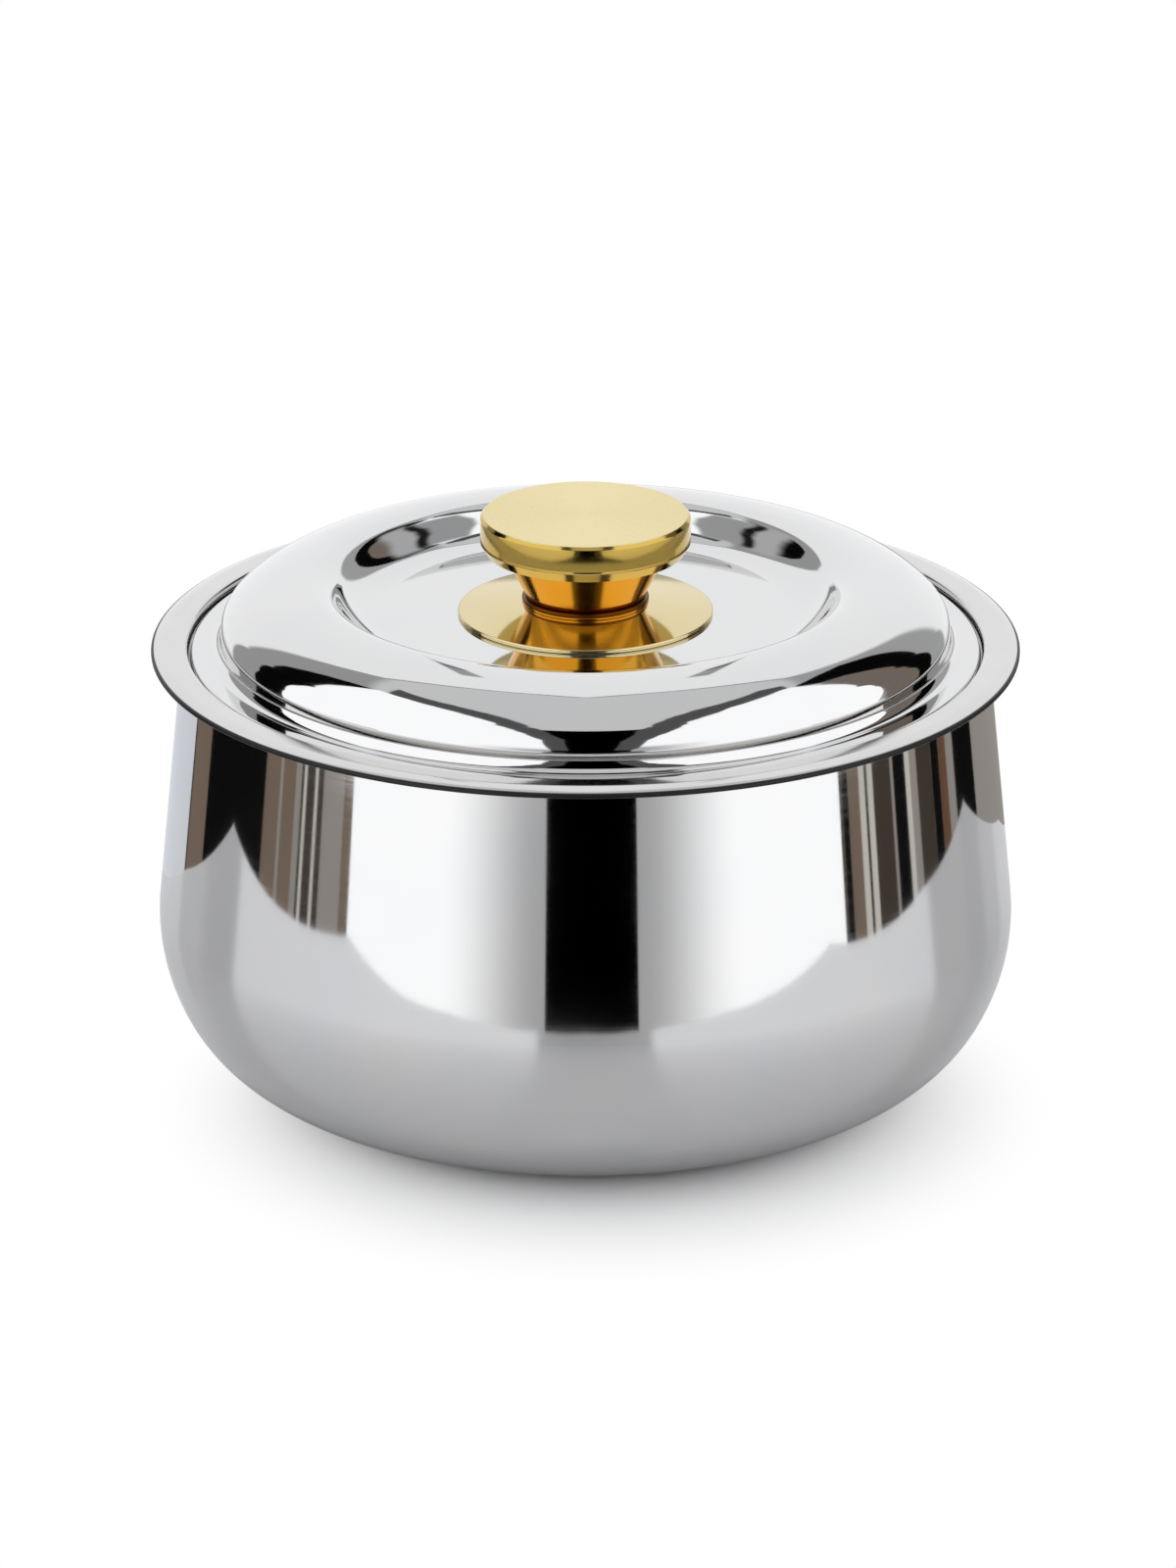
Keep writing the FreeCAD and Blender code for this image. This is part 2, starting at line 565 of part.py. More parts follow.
def make_knob_cap_base():
    """Base of the cap: lip, flare, groove, a ring that stands in the cup and one that centres the stem."""
    body = new_body("knob_cap_base")
    corners = [
        ("insert_radius + spigot_play", "cap_base_level"),
        ("cap_spigot_radius - spigot_width", "cap_base_level"),
        ("cap_spigot_radius - spigot_width", "cap_base_level - spigot_height"),
        ("cap_spigot_radius", "cap_base_level - spigot_height"),
        ("cap_spigot_radius", "cap_base_level"),
        ("cap_lip_radius", "cap_base_level"),
        ("cap_radius", "cap_base_level + cap_base_edge"),
        ("cap_radius", "band_level - groove_height"),
        ("cap_radius - groove_depth", "band_level - groove_height"),
        ("cap_radius - groove_depth", "band_level"),
        ("cap_inner_radius - spigot_play", "band_level"),
        ("cap_inner_radius - spigot_play", "band_level + cap_spigot_height"),
        ("cap_inner_radius - spigot_play - spigot_width", "band_level + cap_spigot_height"),
        ("cap_inner_radius - spigot_play - spigot_width", "insert_floor"),
        ("insert_radius + spigot_play", "insert_floor"),
    ]
    return turn(body, solid_profile(body, "cap_base_section", corners), "cap_base_turning")


def make_knob_insert():
    """Threaded insert that hangs in the cap's base by its flange and takes the screw."""
    body = new_body("knob_insert")
    corners = [
        ("screw_radius + thread_play", "cap_base_level - insert_drop"),
        ("insert_radius", "cap_base_level - insert_drop"),
        ("insert_radius", "insert_floor"),
        ("insert_flange_radius", "insert_floor"),
        ("insert_flange_radius", "insert_top"),
        ("screw_radius + thread_play", "insert_top"),
    ]
    return turn(body, solid_profile(body, "insert_section", corners), "insert_turning")


def make_knob_stem():
    """Hollow stem: bead at the foot and a cone that opens up to the cap."""
    body = new_body("knob_stem")
    corners = [
        ("stem_bore_radius", "stem_level"),
        ("stem_foot_radius", "stem_level", "stem_bead_round"),
        ("stem_foot_radius", "stem_level + stem_bead", "stem_bead_round"),
        ("stem_waist_radius", "stem_level + stem_bead"),
        ("stem_top_radius", "cap_base_level"),
        ("stem_top_radius - stem_wall", "cap_base_level"),
    ]
    return turn(body, solid_profile(body, "stem_section", corners), "stem_turning")


def make_knob_rosette():
    """Thin crowned disc under the stem, with a ring that centres the stem's foot."""
    body = new_body("knob_rosette")
    ring_outside = "stem_bore_radius - spigot_play"
    corners = [
        ("screw_hole_radius", "well_level"),
        ("rosette_radius", "well_level", "rosette_round"),
        ("rosette_radius", "well_level + rosette_edge", "rosette_round"),
        ("stem_foot_radius", "stem_level"),
        (ring_outside, "stem_level"),
        (ring_outside, "stem_level + spigot_height"),
        (f"{ring_outside} - spigot_width", "stem_level + spigot_height"),
        (f"{ring_outside} - spigot_width", "well_level + rosette_floor"),
        ("screw_hole_radius", "well_level + rosette_floor"),
    ]
    return turn(body, solid_profile(body, "rosette_section", corners), "rosette_turning")


def make_ring(label, inner, outer, floor, top, sweep=None):
    """A washer between two levels, all the way round or through a sweep."""
    body = new_body(label)
    corners = [(inner, floor), (outer, floor), (outer, top), (inner, top)]
    return turn(body, solid_profile(body, f"{label}_section", corners), f"{label}_turning", sweep)


def make_knob_screw():
    """Pan-headed screw from inside the lid up into the insert."""
    body = new_body("knob_screw")
    corners = [
        ("0", "head_floor"),
        ("head_radius", "head_floor", "head_round"),
        ("head_radius", "head_top"),
        ("screw_radius", "head_top"),
        ("screw_radius", "insert_top - screw_short"),
        ("0", "insert_top - screw_short"),
    ]
    return turn(body, solid_profile(body, "screw_section", corners), "screw_turning")


PIECES = [
    make_outer_shell(),
    make_liner_bowl(),
    make_body_insulation(),
    make_fill_plug(),
    make_lid_outer_skin(),
    make_lid_inner_skin(),
    make_lid_insulation(),
    make_knob_cap(),
    make_knob_cap_base(),
    make_knob_insert(),
    make_knob_stem(),
    make_knob_rosette(),
    make_ring("backing_washer", "screw_hole_radius", "washer_radius", "spring_top", "washer_top"),
    make_ring("spring_washer", "screw_hole_radius", "spring_radius", "head_top", "spring_top",
              "spring_sweep"),
    make_knob_screw(),
]

# ---------------------------------------------------------------- build, check and write
doc.recompute()
for item in doc.Objects:
    if {"Invalid", "Error"} & set(item.State):
        raise RuntimeError(f"{item.Label} failed: {item.State}")
    if item.TypeId == "Sketcher::SketchObject" and not item.FullyConstrained:
        raise RuntimeError(f"{item.Label} isn't fully constrained")
for piece in PIECES:
    if piece.Shape.isNull() or not piece.Shape.isValid() or len(piece.Shape.Solids) != 1:
        raise RuntimeError(f"{piece.Label} isn't one valid solid")
for piece in PIECES:
    piece.Shape.exportStep(f"parts/{piece.Label}.step")
    print(f"{piece.Label}: {piece.Shape.Volume / 1000:.2f} cm3")
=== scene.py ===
# %% [markdown]
# # An insulated chapati casserole
#
# The real thing is hollow ware: every steel part starts as a flat disc and is spun or drawn over a
# former, so every part is a surface of revolution. The looks are made the same way. A section is drawn
# in the plane of the axis, as straight lines whose corners are rounded by arcs, and is then turned.
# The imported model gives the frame: its bodies, its nodes and the box that nothing may leave.

import math

import bpy
import numpy as np
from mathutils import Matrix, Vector


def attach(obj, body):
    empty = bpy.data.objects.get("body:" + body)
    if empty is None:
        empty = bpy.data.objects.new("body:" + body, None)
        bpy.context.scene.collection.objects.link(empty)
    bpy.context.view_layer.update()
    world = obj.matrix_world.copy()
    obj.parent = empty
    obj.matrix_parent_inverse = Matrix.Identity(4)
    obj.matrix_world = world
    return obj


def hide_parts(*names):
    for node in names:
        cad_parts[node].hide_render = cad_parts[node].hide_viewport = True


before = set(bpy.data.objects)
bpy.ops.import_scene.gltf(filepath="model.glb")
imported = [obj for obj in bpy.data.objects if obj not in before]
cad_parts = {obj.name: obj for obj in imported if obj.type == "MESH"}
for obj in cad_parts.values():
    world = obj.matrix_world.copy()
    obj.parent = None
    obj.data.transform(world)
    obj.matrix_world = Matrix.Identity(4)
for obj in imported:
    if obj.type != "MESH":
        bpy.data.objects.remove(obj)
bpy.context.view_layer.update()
mm = 0.001
print("nodes:", sorted(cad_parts))

# %% [markdown]
# ## Camera
#
# A long lens from a little above, as for a product picture. The camera looks at a point beside the axis,
# less than a millimetre off, so the casserole stands a hair left of the middle.
# The lens is worked out from the distance and from how many pixels a millimetre should take.

# %% Camera
image_width, image_height = 1200, 1600
camera_distance = 2.5
camera_elevation = math.radians(20.5)
target_side, target_height = 0.7 * mm, 82.2 * mm
pixels_per_metre = 3670
sensor = 36.0

target = Vector((target_side, 0, target_height))
view_back = Vector((0, -math.cos(camera_elevation), math.sin(camera_elevation)))
camera = bpy.data.cameras.new("camera")
camera.sensor_width = sensor
camera.lens = pixels_per_metre * camera_distance * sensor / max(image_width, image_height)
camera_object = bpy.data.objects.new("camera", camera)
camera_object.location = target + view_back * camera_distance
camera_object.rotation_euler = view_back.to_track_quat("Z", "Y").to_euler()
bpy.context.scene.collection.objects.link(camera_object)
bpy.context.scene.camera = camera_object
print("lens:", round(camera.lens, 1), "mm")

# %% [markdown]
# ## Outlines
#
# Spun sheet has no corners: the metal flows round them. So a section is a list of corners, each with
# the radius of its bend, and one function turns the list into points and exact normals. The normals
# matter more than the points, because polished metal shows a mirror image of the room, and an image is
# bent by the smallest error in a normal.

# %% Rounded outlines
arc_step = math.radians(2.5)
line_step = 4 * mm


def turned(vectors, angle):
    """Plane vectors turned anticlockwise: (x cos a - y sin a, x sin a + y cos a)."""
    cos, sin = np.cos(angle), np.sin(angle)
    return np.stack([vectors[..., 0] * cos - vectors[..., 1] * sin,
                     vectors[..., 0] * sin + vectors[..., 1] * cos], axis=-1)


def directions(spots):
    """Unit vectors from each spot to the next."""
    runs = np.diff(spots, axis=0)
    return runs / np.linalg.norm(runs, axis=1, keepdims=True)


def rounded(corners):
    """Points and normals along straight lines whose corners are rounded by tangent arcs.

    A corner is (distance from the axis, height) or (distance, height, radius). A bend that turns the
    outline by t starts radius * tan(t / 2) before its corner. Its points are centre + radius * (cos,
    sin) over t. The normal is the direction of travel turned a quarter to the right. Returns the
    stretches between points as two arrays: ends (n, 2, 2) and normals (n, 2, 2).
    """
    spots = np.array([corner[:2] for corner in corners], float)
    radii = [corner[2] if len(corner) > 2 else 0 for corner in corners]
    ways = directions(spots)
    right = turned(ways, -math.pi / 2)
    ends, normals = [], []
    start = spots[0]
    for index, spot in enumerate(spots[1:], start=1):
        way, side = ways[index - 1], right[index - 1]
        angle = 0
        if index < len(spots) - 1:
            angle = math.atan2(np.cross(way, ways[index]), way @ ways[index])
        stop = spot - way * radii[index] * math.tan(abs(angle) / 2)
        steps = max(1, math.ceil(np.linalg.norm(stop - start) / line_step))
        run = start + (stop - start) * np.linspace(0, 1, steps + 1)[:, None]
        ends.append(np.stack([run[:-1], run[1:]], axis=1))
        normals.append(np.tile(side, (steps, 2, 1)))
        start = stop
        if radii[index] and angle:
            centre = stop - side * radii[index] * np.sign(angle)
            steps = max(2, math.ceil(abs(angle) / arc_step))
            angles = np.linspace(0, angle, steps + 1)
            arc = centre + turned(stop - centre, angles)
            bend = turned(side, angles)
            ends.append(np.stack([arc[:-1], arc[1:]], axis=1))
            normals.append(np.stack([bend[:-1], bend[1:]], axis=1))
            start = arc[-1]
    return np.concatenate(ends), np.concatenate(normals)


def offset(corners, gap):
    """The outline that runs at a gap to the left of another.

    Each corner moves along the half angle of its bend by gap / cos(turn / 2), and each radius changes
    by the gap, so both bends keep one centre.
    """
    spots = np.array([corner[:2] for corner in corners], float)
    ways = directions(spots)
    before = np.vstack([ways[:1], ways])
    after = np.vstack([ways, ways[-1:]])
    middle = (before + after) / np.linalg.norm(before + after, axis=1, keepdims=True)
    reach = gap / np.sum(middle * before, axis=1)
    moved = spots + turned(middle, math.pi / 2) * reach[:, None]
    turns = np.cross(before, after)
    radii = [corner[2] - gap * np.sign(turn) if len(corner) > 2 else 0
             for corner, turn in zip(corners, turns)]
    return [(*spot, radius) for spot, radius in zip(moved, radii)]


def sheet_section(corners, gauge):
    """Both faces of a bent sheet: the outline, a square end, the offset outline back, a square end.

    Where the sheet reaches the axis it needs no second end, and the section runs from axis to axis.
    """
    other = offset(corners, gauge)[::-1]
    if corners[0][0] == 0:
        return corners + other
    if corners[-1][0] == 0:
        return other + corners
    return corners + other + [corners[0]]


print("steps in a bend of a right angle:", math.ceil(math.pi / 2 / arc_step))

# %% [markdown]
# ## Turning a section
#
# The surface is S(s, a) = (r(s) cos a, r(s) sin a, z(s)), with s along the section and a round the axis.
# Where the section meets the axis, the ring of points becomes one pole and the quads become triangles.
# Each corner of each face carries the exact normal, so a sharp edge stays sharp and a bend stays smooth.
# The piece also stores where each point lies on the spinning lathe: (cos a, sin a, s). A pattern that
# reads it follows the metal, as the marks of a polishing wheel do.

# %% Grid of a turned piece
around = 180
pole_radius = 1e-7


def turned_grid(corners):
    """The grid of S(s, a) = (r(s) cos a, r(s) sin a, z(s)), worked out as whole arrays of s and a.

    A ring has one point for each a, but on the axis it is a single point, and the faces beside it lose
    a corner. A normal is the section's own, turned by a. Returns the points, their places on the
    lathe, the number of corners of each face, and the point and the normal of each corner.
    """
    ends, normals = rounded(corners)
    count = len(ends)
    closed = np.allclose(ends[0, 0], ends[-1, 1])
    section = ends[:, 0] if closed else np.vstack([ends[:, 0], ends[-1:, 1]])
    length = np.linalg.norm(ends[:, 1] - ends[:, 0], axis=1)
    travel = np.concatenate([[0], np.cumsum(length)])[:len(section)]
    angle = np.linspace(0, 2 * math.pi, around, endpoint=False)
    cos, sin = np.cos(angle), np.sin(angle)

    pole = section[:, 0] < pole_radius
    sizes = np.where(pole, 1, around)
    first = np.concatenate([[0], np.cumsum(sizes)[:-1]])
    ring = first[:, None] + np.where(pole[:, None], 0, np.arange(around))
    rows, columns = np.nonzero(np.where(pole[:, None], np.arange(around) == 0, True))
    points = np.stack([section[rows, 0] * cos[columns], section[rows, 0] * sin[columns],
                       section[rows, 1]], axis=1)
    spun = np.stack([cos[columns], sin[columns], travel[rows]], axis=1)

    upper = np.roll(np.arange(len(section)), -1)[:count]
    here, there = ring[:count], ring[upper]
    quads = np.stack([here, np.roll(here, -1, axis=1), np.roll(there, -1, axis=1), there], axis=2)
    steps = np.stack([np.arange(around), np.arange(1, around + 1), np.arange(1, around + 1),
                      np.arange(around)], axis=1) % around
    slope = normals[:, [0, 0, 1, 1]]
    shine = np.stack([slope[:, None, :, 0] * cos[steps][None], slope[:, None, :, 0] * sin[steps][None],
                      np.broadcast_to(slope[:, None, :, 1], (count, around, 4))], axis=-1)
    keep = np.ones((count, around, 4), bool)
    keep[pole[:count], :, 1] = False
    keep[pole[upper], :, 3] = False
    return points, spun, keep.sum(axis=2).ravel(), quads[keep], shine[keep]


# %% Lathe
def lathe(name, corners, material):
    """A turned piece: its section's grid as a mesh, with exact normals and its places on the lathe."""
    points, spun, face_sizes, corner_points, corner_normals = turned_grid(corners)
    starts = np.concatenate([[0], np.cumsum(face_sizes)[:-1]])
    mesh = bpy.data.meshes.new(name)
    mesh.vertices.add(len(points))
    mesh.vertices.foreach_set("co", points.astype(np.float32).ravel())
    mesh.loops.add(len(corner_points))
    mesh.loops.foreach_set("vertex_index", corner_points.astype(np.int32))
    mesh.polygons.add(len(face_sizes))
    mesh.polygons.foreach_set("loop_start", starts.astype(np.int32))
    mesh.update(calc_edges=True)
    mesh.validate()
    mesh.polygons.foreach_set("use_smooth", np.ones(len(face_sizes), bool))
    mesh.normals_split_custom_set(corner_normals.tolist())
    places = mesh.attributes.new("spun", "FLOAT_VECTOR", "POINT")
    places.data.foreach_set("vector", spun.astype(np.float32).ravel())
    mesh.materials.append(material)
    piece = bpy.data.objects.new(name, mesh)
    bpy.context.scene.collection.objects.link(piece)
    print(f"{name}: {int((face_sizes - 2).sum())} triangles")
    return piece

# %% [markdown]
# ## Colours and nodes
#
# Colours are written as they look on a screen and are turned to linear light by one function. One helper
# adds a node, sets its values and links its inputs.

# %% Colour and node helpers
def linear(code):
    """An sRGB hex colour as linear red, green, blue and alpha.

    Each part c becomes ((c + 0.055) / 1.055) ^ 2.4, or c / 12.92 where it is up to 0.04045.
    """
    parts = [int(code[index:index + 2], 16) / 255 for index in (1, 3, 5)]
    return tuple(((part + 0.055) / 1.055) ** 2.4 if part > 0.04045 else part / 12.92 for part in parts) + (1,)


def add(tree, kind, settings=None, inputs=None):
    """Add a node to a tree. Settings are its properties; inputs are values or another node's socket."""
    node = tree.nodes.new(kind)
    for name, setting in (settings or {}).items():
        setattr(node, name, setting)
    for name, source in (inputs or {}).items():
        if isinstance(source, bpy.types.NodeSocket):
            tree.links.new(source, node.inputs[name])
        else:
            node.inputs[name].default_value = source
    return node


def new_material(name):
    """An empty node material and its output."""
    material = bpy.data.materials.new(name)
    material.use_nodes = True
    material.node_tree.nodes.clear()
    return material, add(material.node_tree, "ShaderNodeOutputMaterial")


print("middle grey in linear light:", round(linear("#808080")[0], 3))

# %% [markdown]
# ## Marks of the polishing lathe
#
# Every visible piece was polished while it turned, so its marks are rings. They come from one noise whose
# place is (cos a, sin a, s), the place on the lathe: slow round the axis and fast along the section. The
# rings change the roughness a little and raise the surface by less than a thousandth of a millimetre. Real
# marks are a few hundredths of a millimetre apart, too fine to show, so they are drawn 0.4 to 0.9 mm
# apart. A second, wide noise is the haze that a wiping cloth leaves.

# %% Lathe marks
ring_detail, haze_detail = 3.0, 2.0
noise_low, noise_high = 0.3, 0.7
haze_width = 28 * mm


def ring_noise(tree, spacing, around_axis=2.0):
    """Noise drawn out round the axis, with its rings one spacing apart: N(k cos a, k sin a, s / spacing)."""
    spun = add(tree, "ShaderNodeAttribute", {"attribute_name": "spun"})
    drawn = add(tree, "ShaderNodeVectorMath", {"operation": "MULTIPLY"},
                {0: spun.outputs["Vector"], 1: (around_axis, around_axis, 1 / spacing)})
    noise = add(tree, "ShaderNodeTexNoise",
                inputs={"Vector": drawn.outputs["Vector"], "Scale": 1.0, "Detail": ring_detail})
    return noise.outputs["Fac"]


def wide_noise(tree, width, detail=haze_detail):
    """Noise through the piece, with patches of the given width."""
    place = add(tree, "ShaderNodeTexCoord")
    noise = add(tree, "ShaderNodeTexNoise",
                inputs={"Vector": place.outputs["Object"], "Scale": 1 / width, "Detail": detail})
    return noise.outputs["Fac"]


def spread(tree, noise, low, high):
    """A noise's usual range turned into low to high."""
    return add(tree, "ShaderNodeMapRange", inputs={
        "Value": noise, "From Min": noise_low, "From Max": noise_high,
        "To Min": low, "To Max": high}).outputs[0]


def total(tree, first, second):
    """The sum of two values."""
    return add(tree, "ShaderNodeMath", {"operation": "ADD"}, {0: first, 1: second}).outputs[0]


def blend_colour(tree, share, first, second):
    """A colour between two, by share."""
    mixed = add(tree, "ShaderNodeMix", {"data_type": "RGBA"}, {"Factor": share})
    for name, source in (("A_Color", first), ("B_Color", second)):
        socket = next(item for item in mixed.inputs if item.identifier == name)
        if isinstance(source, bpy.types.NodeSocket):
            tree.links.new(source, socket)
        else:
            socket.default_value = source
    return next(item for item in mixed.outputs if item.identifier == "Result_Color")


def blend_value(tree, share, first, second):
    """A value between two, by share."""
    return add(tree, "ShaderNodeMapRange",
               inputs={"Value": share, "To Min": first, "To Max": second}).outputs[0]


def polished_metal(name, tint, gloss, haze, spacing, depth, anisotropy):
    """Metal polished on the lathe: ring marks between two roughnesses, haze, and a fine raised ring.

    The tint is a pair of colours that the haze moves between. Returns the material and its shader.
    """
    material, output = new_material(name)
    tree = material.node_tree
    tangent = add(tree, "ShaderNodeTangent", {"direction_type": "RADIAL", "axis": "Z"})
    rings = ring_noise(tree, spacing)
    cloth = wide_noise(tree, haze_width)
    roughness = total(tree, spread(tree, rings, *gloss), spread(tree, cloth, 0, haze))
    colour = blend_colour(tree, spread(tree, cloth, 0, 1), *(linear(code) for code in tint))
    raised = add(tree, "ShaderNodeBump", inputs={"Strength": 1.0, "Distance": depth, "Height": rings})
    metal = add(tree, "ShaderNodeBsdfPrincipled", inputs={
        "Base Color": colour, "Metallic": 1.0, "Roughness": roughness, "Anisotropic": anisotropy,
        "Normal": raised.outputs["Normal"], "Tangent": tangent.outputs["Tangent"]})
    tree.links.new(metal.outputs["BSDF"], output.inputs["Surface"])
    return material, metal

# %% [markdown]
# ## Steel
#
# Stainless steel, type 304, is nearly neutral and a little warm. The outside was buffed with a sisal wheel
# and then with a cotton one, which leaves a mirror with very faint rings. The rim and the bowl got one
# step less, so their image is softer. The pan under the lid kept the satin look of the spinning tool.
# The narrow ledge of the lid's seat, under the lid's flange, is painted dark and dull: painted shade.
# Painted shade, and a change of finish, is laid over the metal by its distance from the axis or by its height
# over the table.

# %% Steel
steel_colour = "#DDDCDA"
micron = 0.001 * mm
mirror_steel, _ = polished_metal(
    "mirror_polished_stainless_steel", tint=(steel_colour, "#DADADA"), gloss=(0.028, 0.05), haze=0.012,
    spacing=0.5 * mm, depth=0.12 * micron, anisotropy=0.3)
rim_steel, rim_metal = polished_metal(
    "buffed_stainless_steel", tint=("#D6D5D3", "#D2D1CF"), gloss=(0.07, 0.13), haze=0.02,
    spacing=0.6 * mm, depth=0.2 * micron, anisotropy=0.5)
satin_steel, _ = polished_metal(
    "satin_spun_stainless_steel", tint=("#D0CFCD", "#CBCAC8"), gloss=(0.16, 0.24), haze=0.03,
    spacing=0.9 * mm, depth=0.8 * micron, anisotropy=0.6)


def from_axis(tree):
    """The distance from the axis."""
    place = add(tree, "ShaderNodeTexCoord")
    flat = add(tree, "ShaderNodeVectorMath", {"operation": "MULTIPLY"},
               {0: place.outputs["Object"], 1: (1, 1, 0)})
    distance = add(tree, "ShaderNodeVectorMath", {"operation": "LENGTH"}, {0: flat.outputs["Vector"]})
    return distance.outputs["Value"]


def from_table(tree):
    """The height over the table."""
    place = add(tree, "ShaderNodeTexCoord")
    return add(tree, "ShaderNodeSeparateXYZ", inputs={"Vector": place.outputs["Object"]}).outputs["Z"]


def between(tree, value, low, high, edge):
    """1 from low to high, fading to 0 over an edge on each side."""
    rise = add(tree, "ShaderNodeMapRange", {"interpolation_type": "SMOOTHSTEP"},
               {"Value": value, "From Min": low - edge, "From Max": low}).outputs[0]
    fall = add(tree, "ShaderNodeMapRange", {"interpolation_type": "SMOOTHSTEP"},
               {"Value": value, "From Min": high + edge, "From Max": high}).outputs[0]
    return add(tree, "ShaderNodeMath", {"operation": "MULTIPLY"}, {0: rise, 1: fall}).outputs[0]


def lay_over(tree, metal, share, colour, roughness):
    """Another colour and roughness over a metal, where the share is 1: painted shade, or a change of finish.
    """
    clean = metal.inputs["Base Color"].links[0].from_socket
    bright = metal.inputs["Roughness"].links[0].from_socket
    tree.links.new(blend_colour(tree, share, clean, colour), metal.inputs["Base Color"])
    tree.links.new(blend_value(tree, share, bright, roughness), metal.inputs["Roughness"])


print("steels:", mirror_steel.name, rim_steel.name, satin_steel.name)

# %% [markdown]
# ## Gold
#
# The knob is plated with a gold-coloured nitride or brass. The rosette and the top of the cap are pale and
# soft; the cap's side is deeper and polished. The stem is the deepest, because it was lacquered, and it
# mirrors the rosette, so gold lies on gold there. The shade in the corner over the stem's bead is painted
# as a dark brown band. The cap's top was brushed in circles to a satin, and the polish starts at its bevel.

# %% Gold
pale_gold, _ = polished_metal(
    "pale_gold_plate", tint=("#DCCB9B", "#D9C794"), gloss=(0.05, 0.09), haze=0.02,
    spacing=0.4 * mm, depth=0.2 * micron, anisotropy=0.4)
deep_gold, stem_metal = polished_metal(
    "lacquered_amber_gold", tint=("#F0B343", "#EAAA3B"), gloss=(0.1, 0.14), haze=0.02,
    spacing=0.5 * mm, depth=0.1 * micron, anisotropy=0.3)
bright_gold, _ = polished_metal(
    "bright_gold_plate", tint=("#DEC680", "#DAC178"), gloss=(0.05, 0.08), haze=0.02,
    spacing=0.5 * mm, depth=0.1 * micron, anisotropy=0.3)
cap_gold, cap_metal = polished_metal(
    "polished_gold_plate", tint=("#C9AB5A", "#C4A552"), gloss=(0.06, 0.1), haze=0.02,
    spacing=0.5 * mm, depth=0.1 * micron, anisotropy=0.4)
print("golds:", pale_gold.name, deep_gold.name, bright_gold.name, cap_gold.name)

# %% [markdown]
# ## Foam, plastic and zinc
#
# These are inside or underneath. The foam is polyurethane poured between the skins: cream, with open cells
# of about a millimetre. The plug is moulded of black polypropylene with a fine spark-eroded grain. The
# screw, its insert and the washers are zinc-plated: grey, a little blue, with a faint mottle.

# %% Foam, plastic and zinc
grain_detail = 4.0


def grained(name, tint, metallic, gloss, width, depth):
    """A surface with one grain that gives its colour, roughness and relief."""
    material, output = new_material(name)
    tree = material.node_tree
    grain = wide_noise(tree, width, grain_detail)
    colour = blend_colour(tree, spread(tree, grain, 0, 1), *(linear(code) for code in tint))
    raised = add(tree, "ShaderNodeBump", inputs={"Strength": 1.0, "Distance": depth, "Height": grain})
    surface = add(tree, "ShaderNodeBsdfPrincipled", inputs={
        "Base Color": colour, "Metallic": metallic, "Roughness": spread(tree, grain, *gloss),
        "Normal": raised.outputs["Normal"]})
    tree.links.new(surface.outputs["BSDF"], output.inputs["Surface"])
    return material


foam = grained("poured_polyurethane_foam", tint=("#E8DAA6", "#D3BF84"), metallic=0.0, gloss=(0.8, 0.95),
               width=1.1 * mm, depth=0.15 * mm)
plastic = grained("moulded_black_polypropylene", tint=("#1A1A1C", "#101012"), metallic=0.0,
                  gloss=(0.38, 0.5), width=0.3 * mm, depth=0.01 * mm)
zinc = grained("zinc_plated_steel", tint=("#B7BABF", "#A3A7AD"), metallic=1.0, gloss=(0.28, 0.42),
               width=0.7 * mm, depth=0.002 * mm)
print("inside and underneath:", foam.name, plastic.name, zinc.name)

# %% [markdown]
# ## Body
#
# The belly shell starts at the filling hole in the recessed base, turns down to the ring that the casserole
# stands on, swells to the belly and closes to the neck. At the top it turns out into a flange. The real
# belly is one soft curve, so two long arcs round its corners.

# %% Belly shell
steel = 0.6 * mm
body_height = 125 * mm
neck_radius, neck_round = 111.4 * mm, 1 * mm
belly_swell, belly_level, base_taper = 8.7 * mm, 36.5 * mm, 18.1 * mm
base_share, belly_share = 0.61, 0.38
foot_width, foot_round = 6.9 * mm, 1.5 * mm
recess_level, recess_run, recess_round = 2.5 * mm, 3.6 * mm, 2 * mm
fill_hole_radius = 6 * mm
rim_overhang, flange_stop = 8.6 * mm, 3 * mm

belly_radius = neck_radius + belly_swell
base_radius = belly_radius - base_taper
rim_radius = neck_radius + rim_overhang
neck_level = body_height - 2 * steel
facet = math.dist((base_radius, 0), (belly_radius, belly_level))
base_turn = math.atan2(belly_level, belly_radius - base_radius)
belly_turn = math.pi / 2 - base_turn + math.atan2(belly_radius - neck_radius, neck_level - belly_level)
base_round = base_share * facet / math.tan(base_turn / 2)
belly_round = belly_share * facet / math.tan(belly_turn / 2)
foot_inner_radius = base_radius - base_share * facet - foot_width
shell = [
    (fill_hole_radius, recess_level),
    (foot_inner_radius - recess_run, recess_level, recess_round),
    (foot_inner_radius, 0, foot_round),
    (base_radius, 0, base_round),
    (belly_radius, belly_level, belly_round),
    (neck_radius, neck_level, neck_round),
    (rim_radius - flange_stop, neck_level),
]
outer_shell = lathe("belly_shell", sheet_section(shell, steel), mirror_steel)
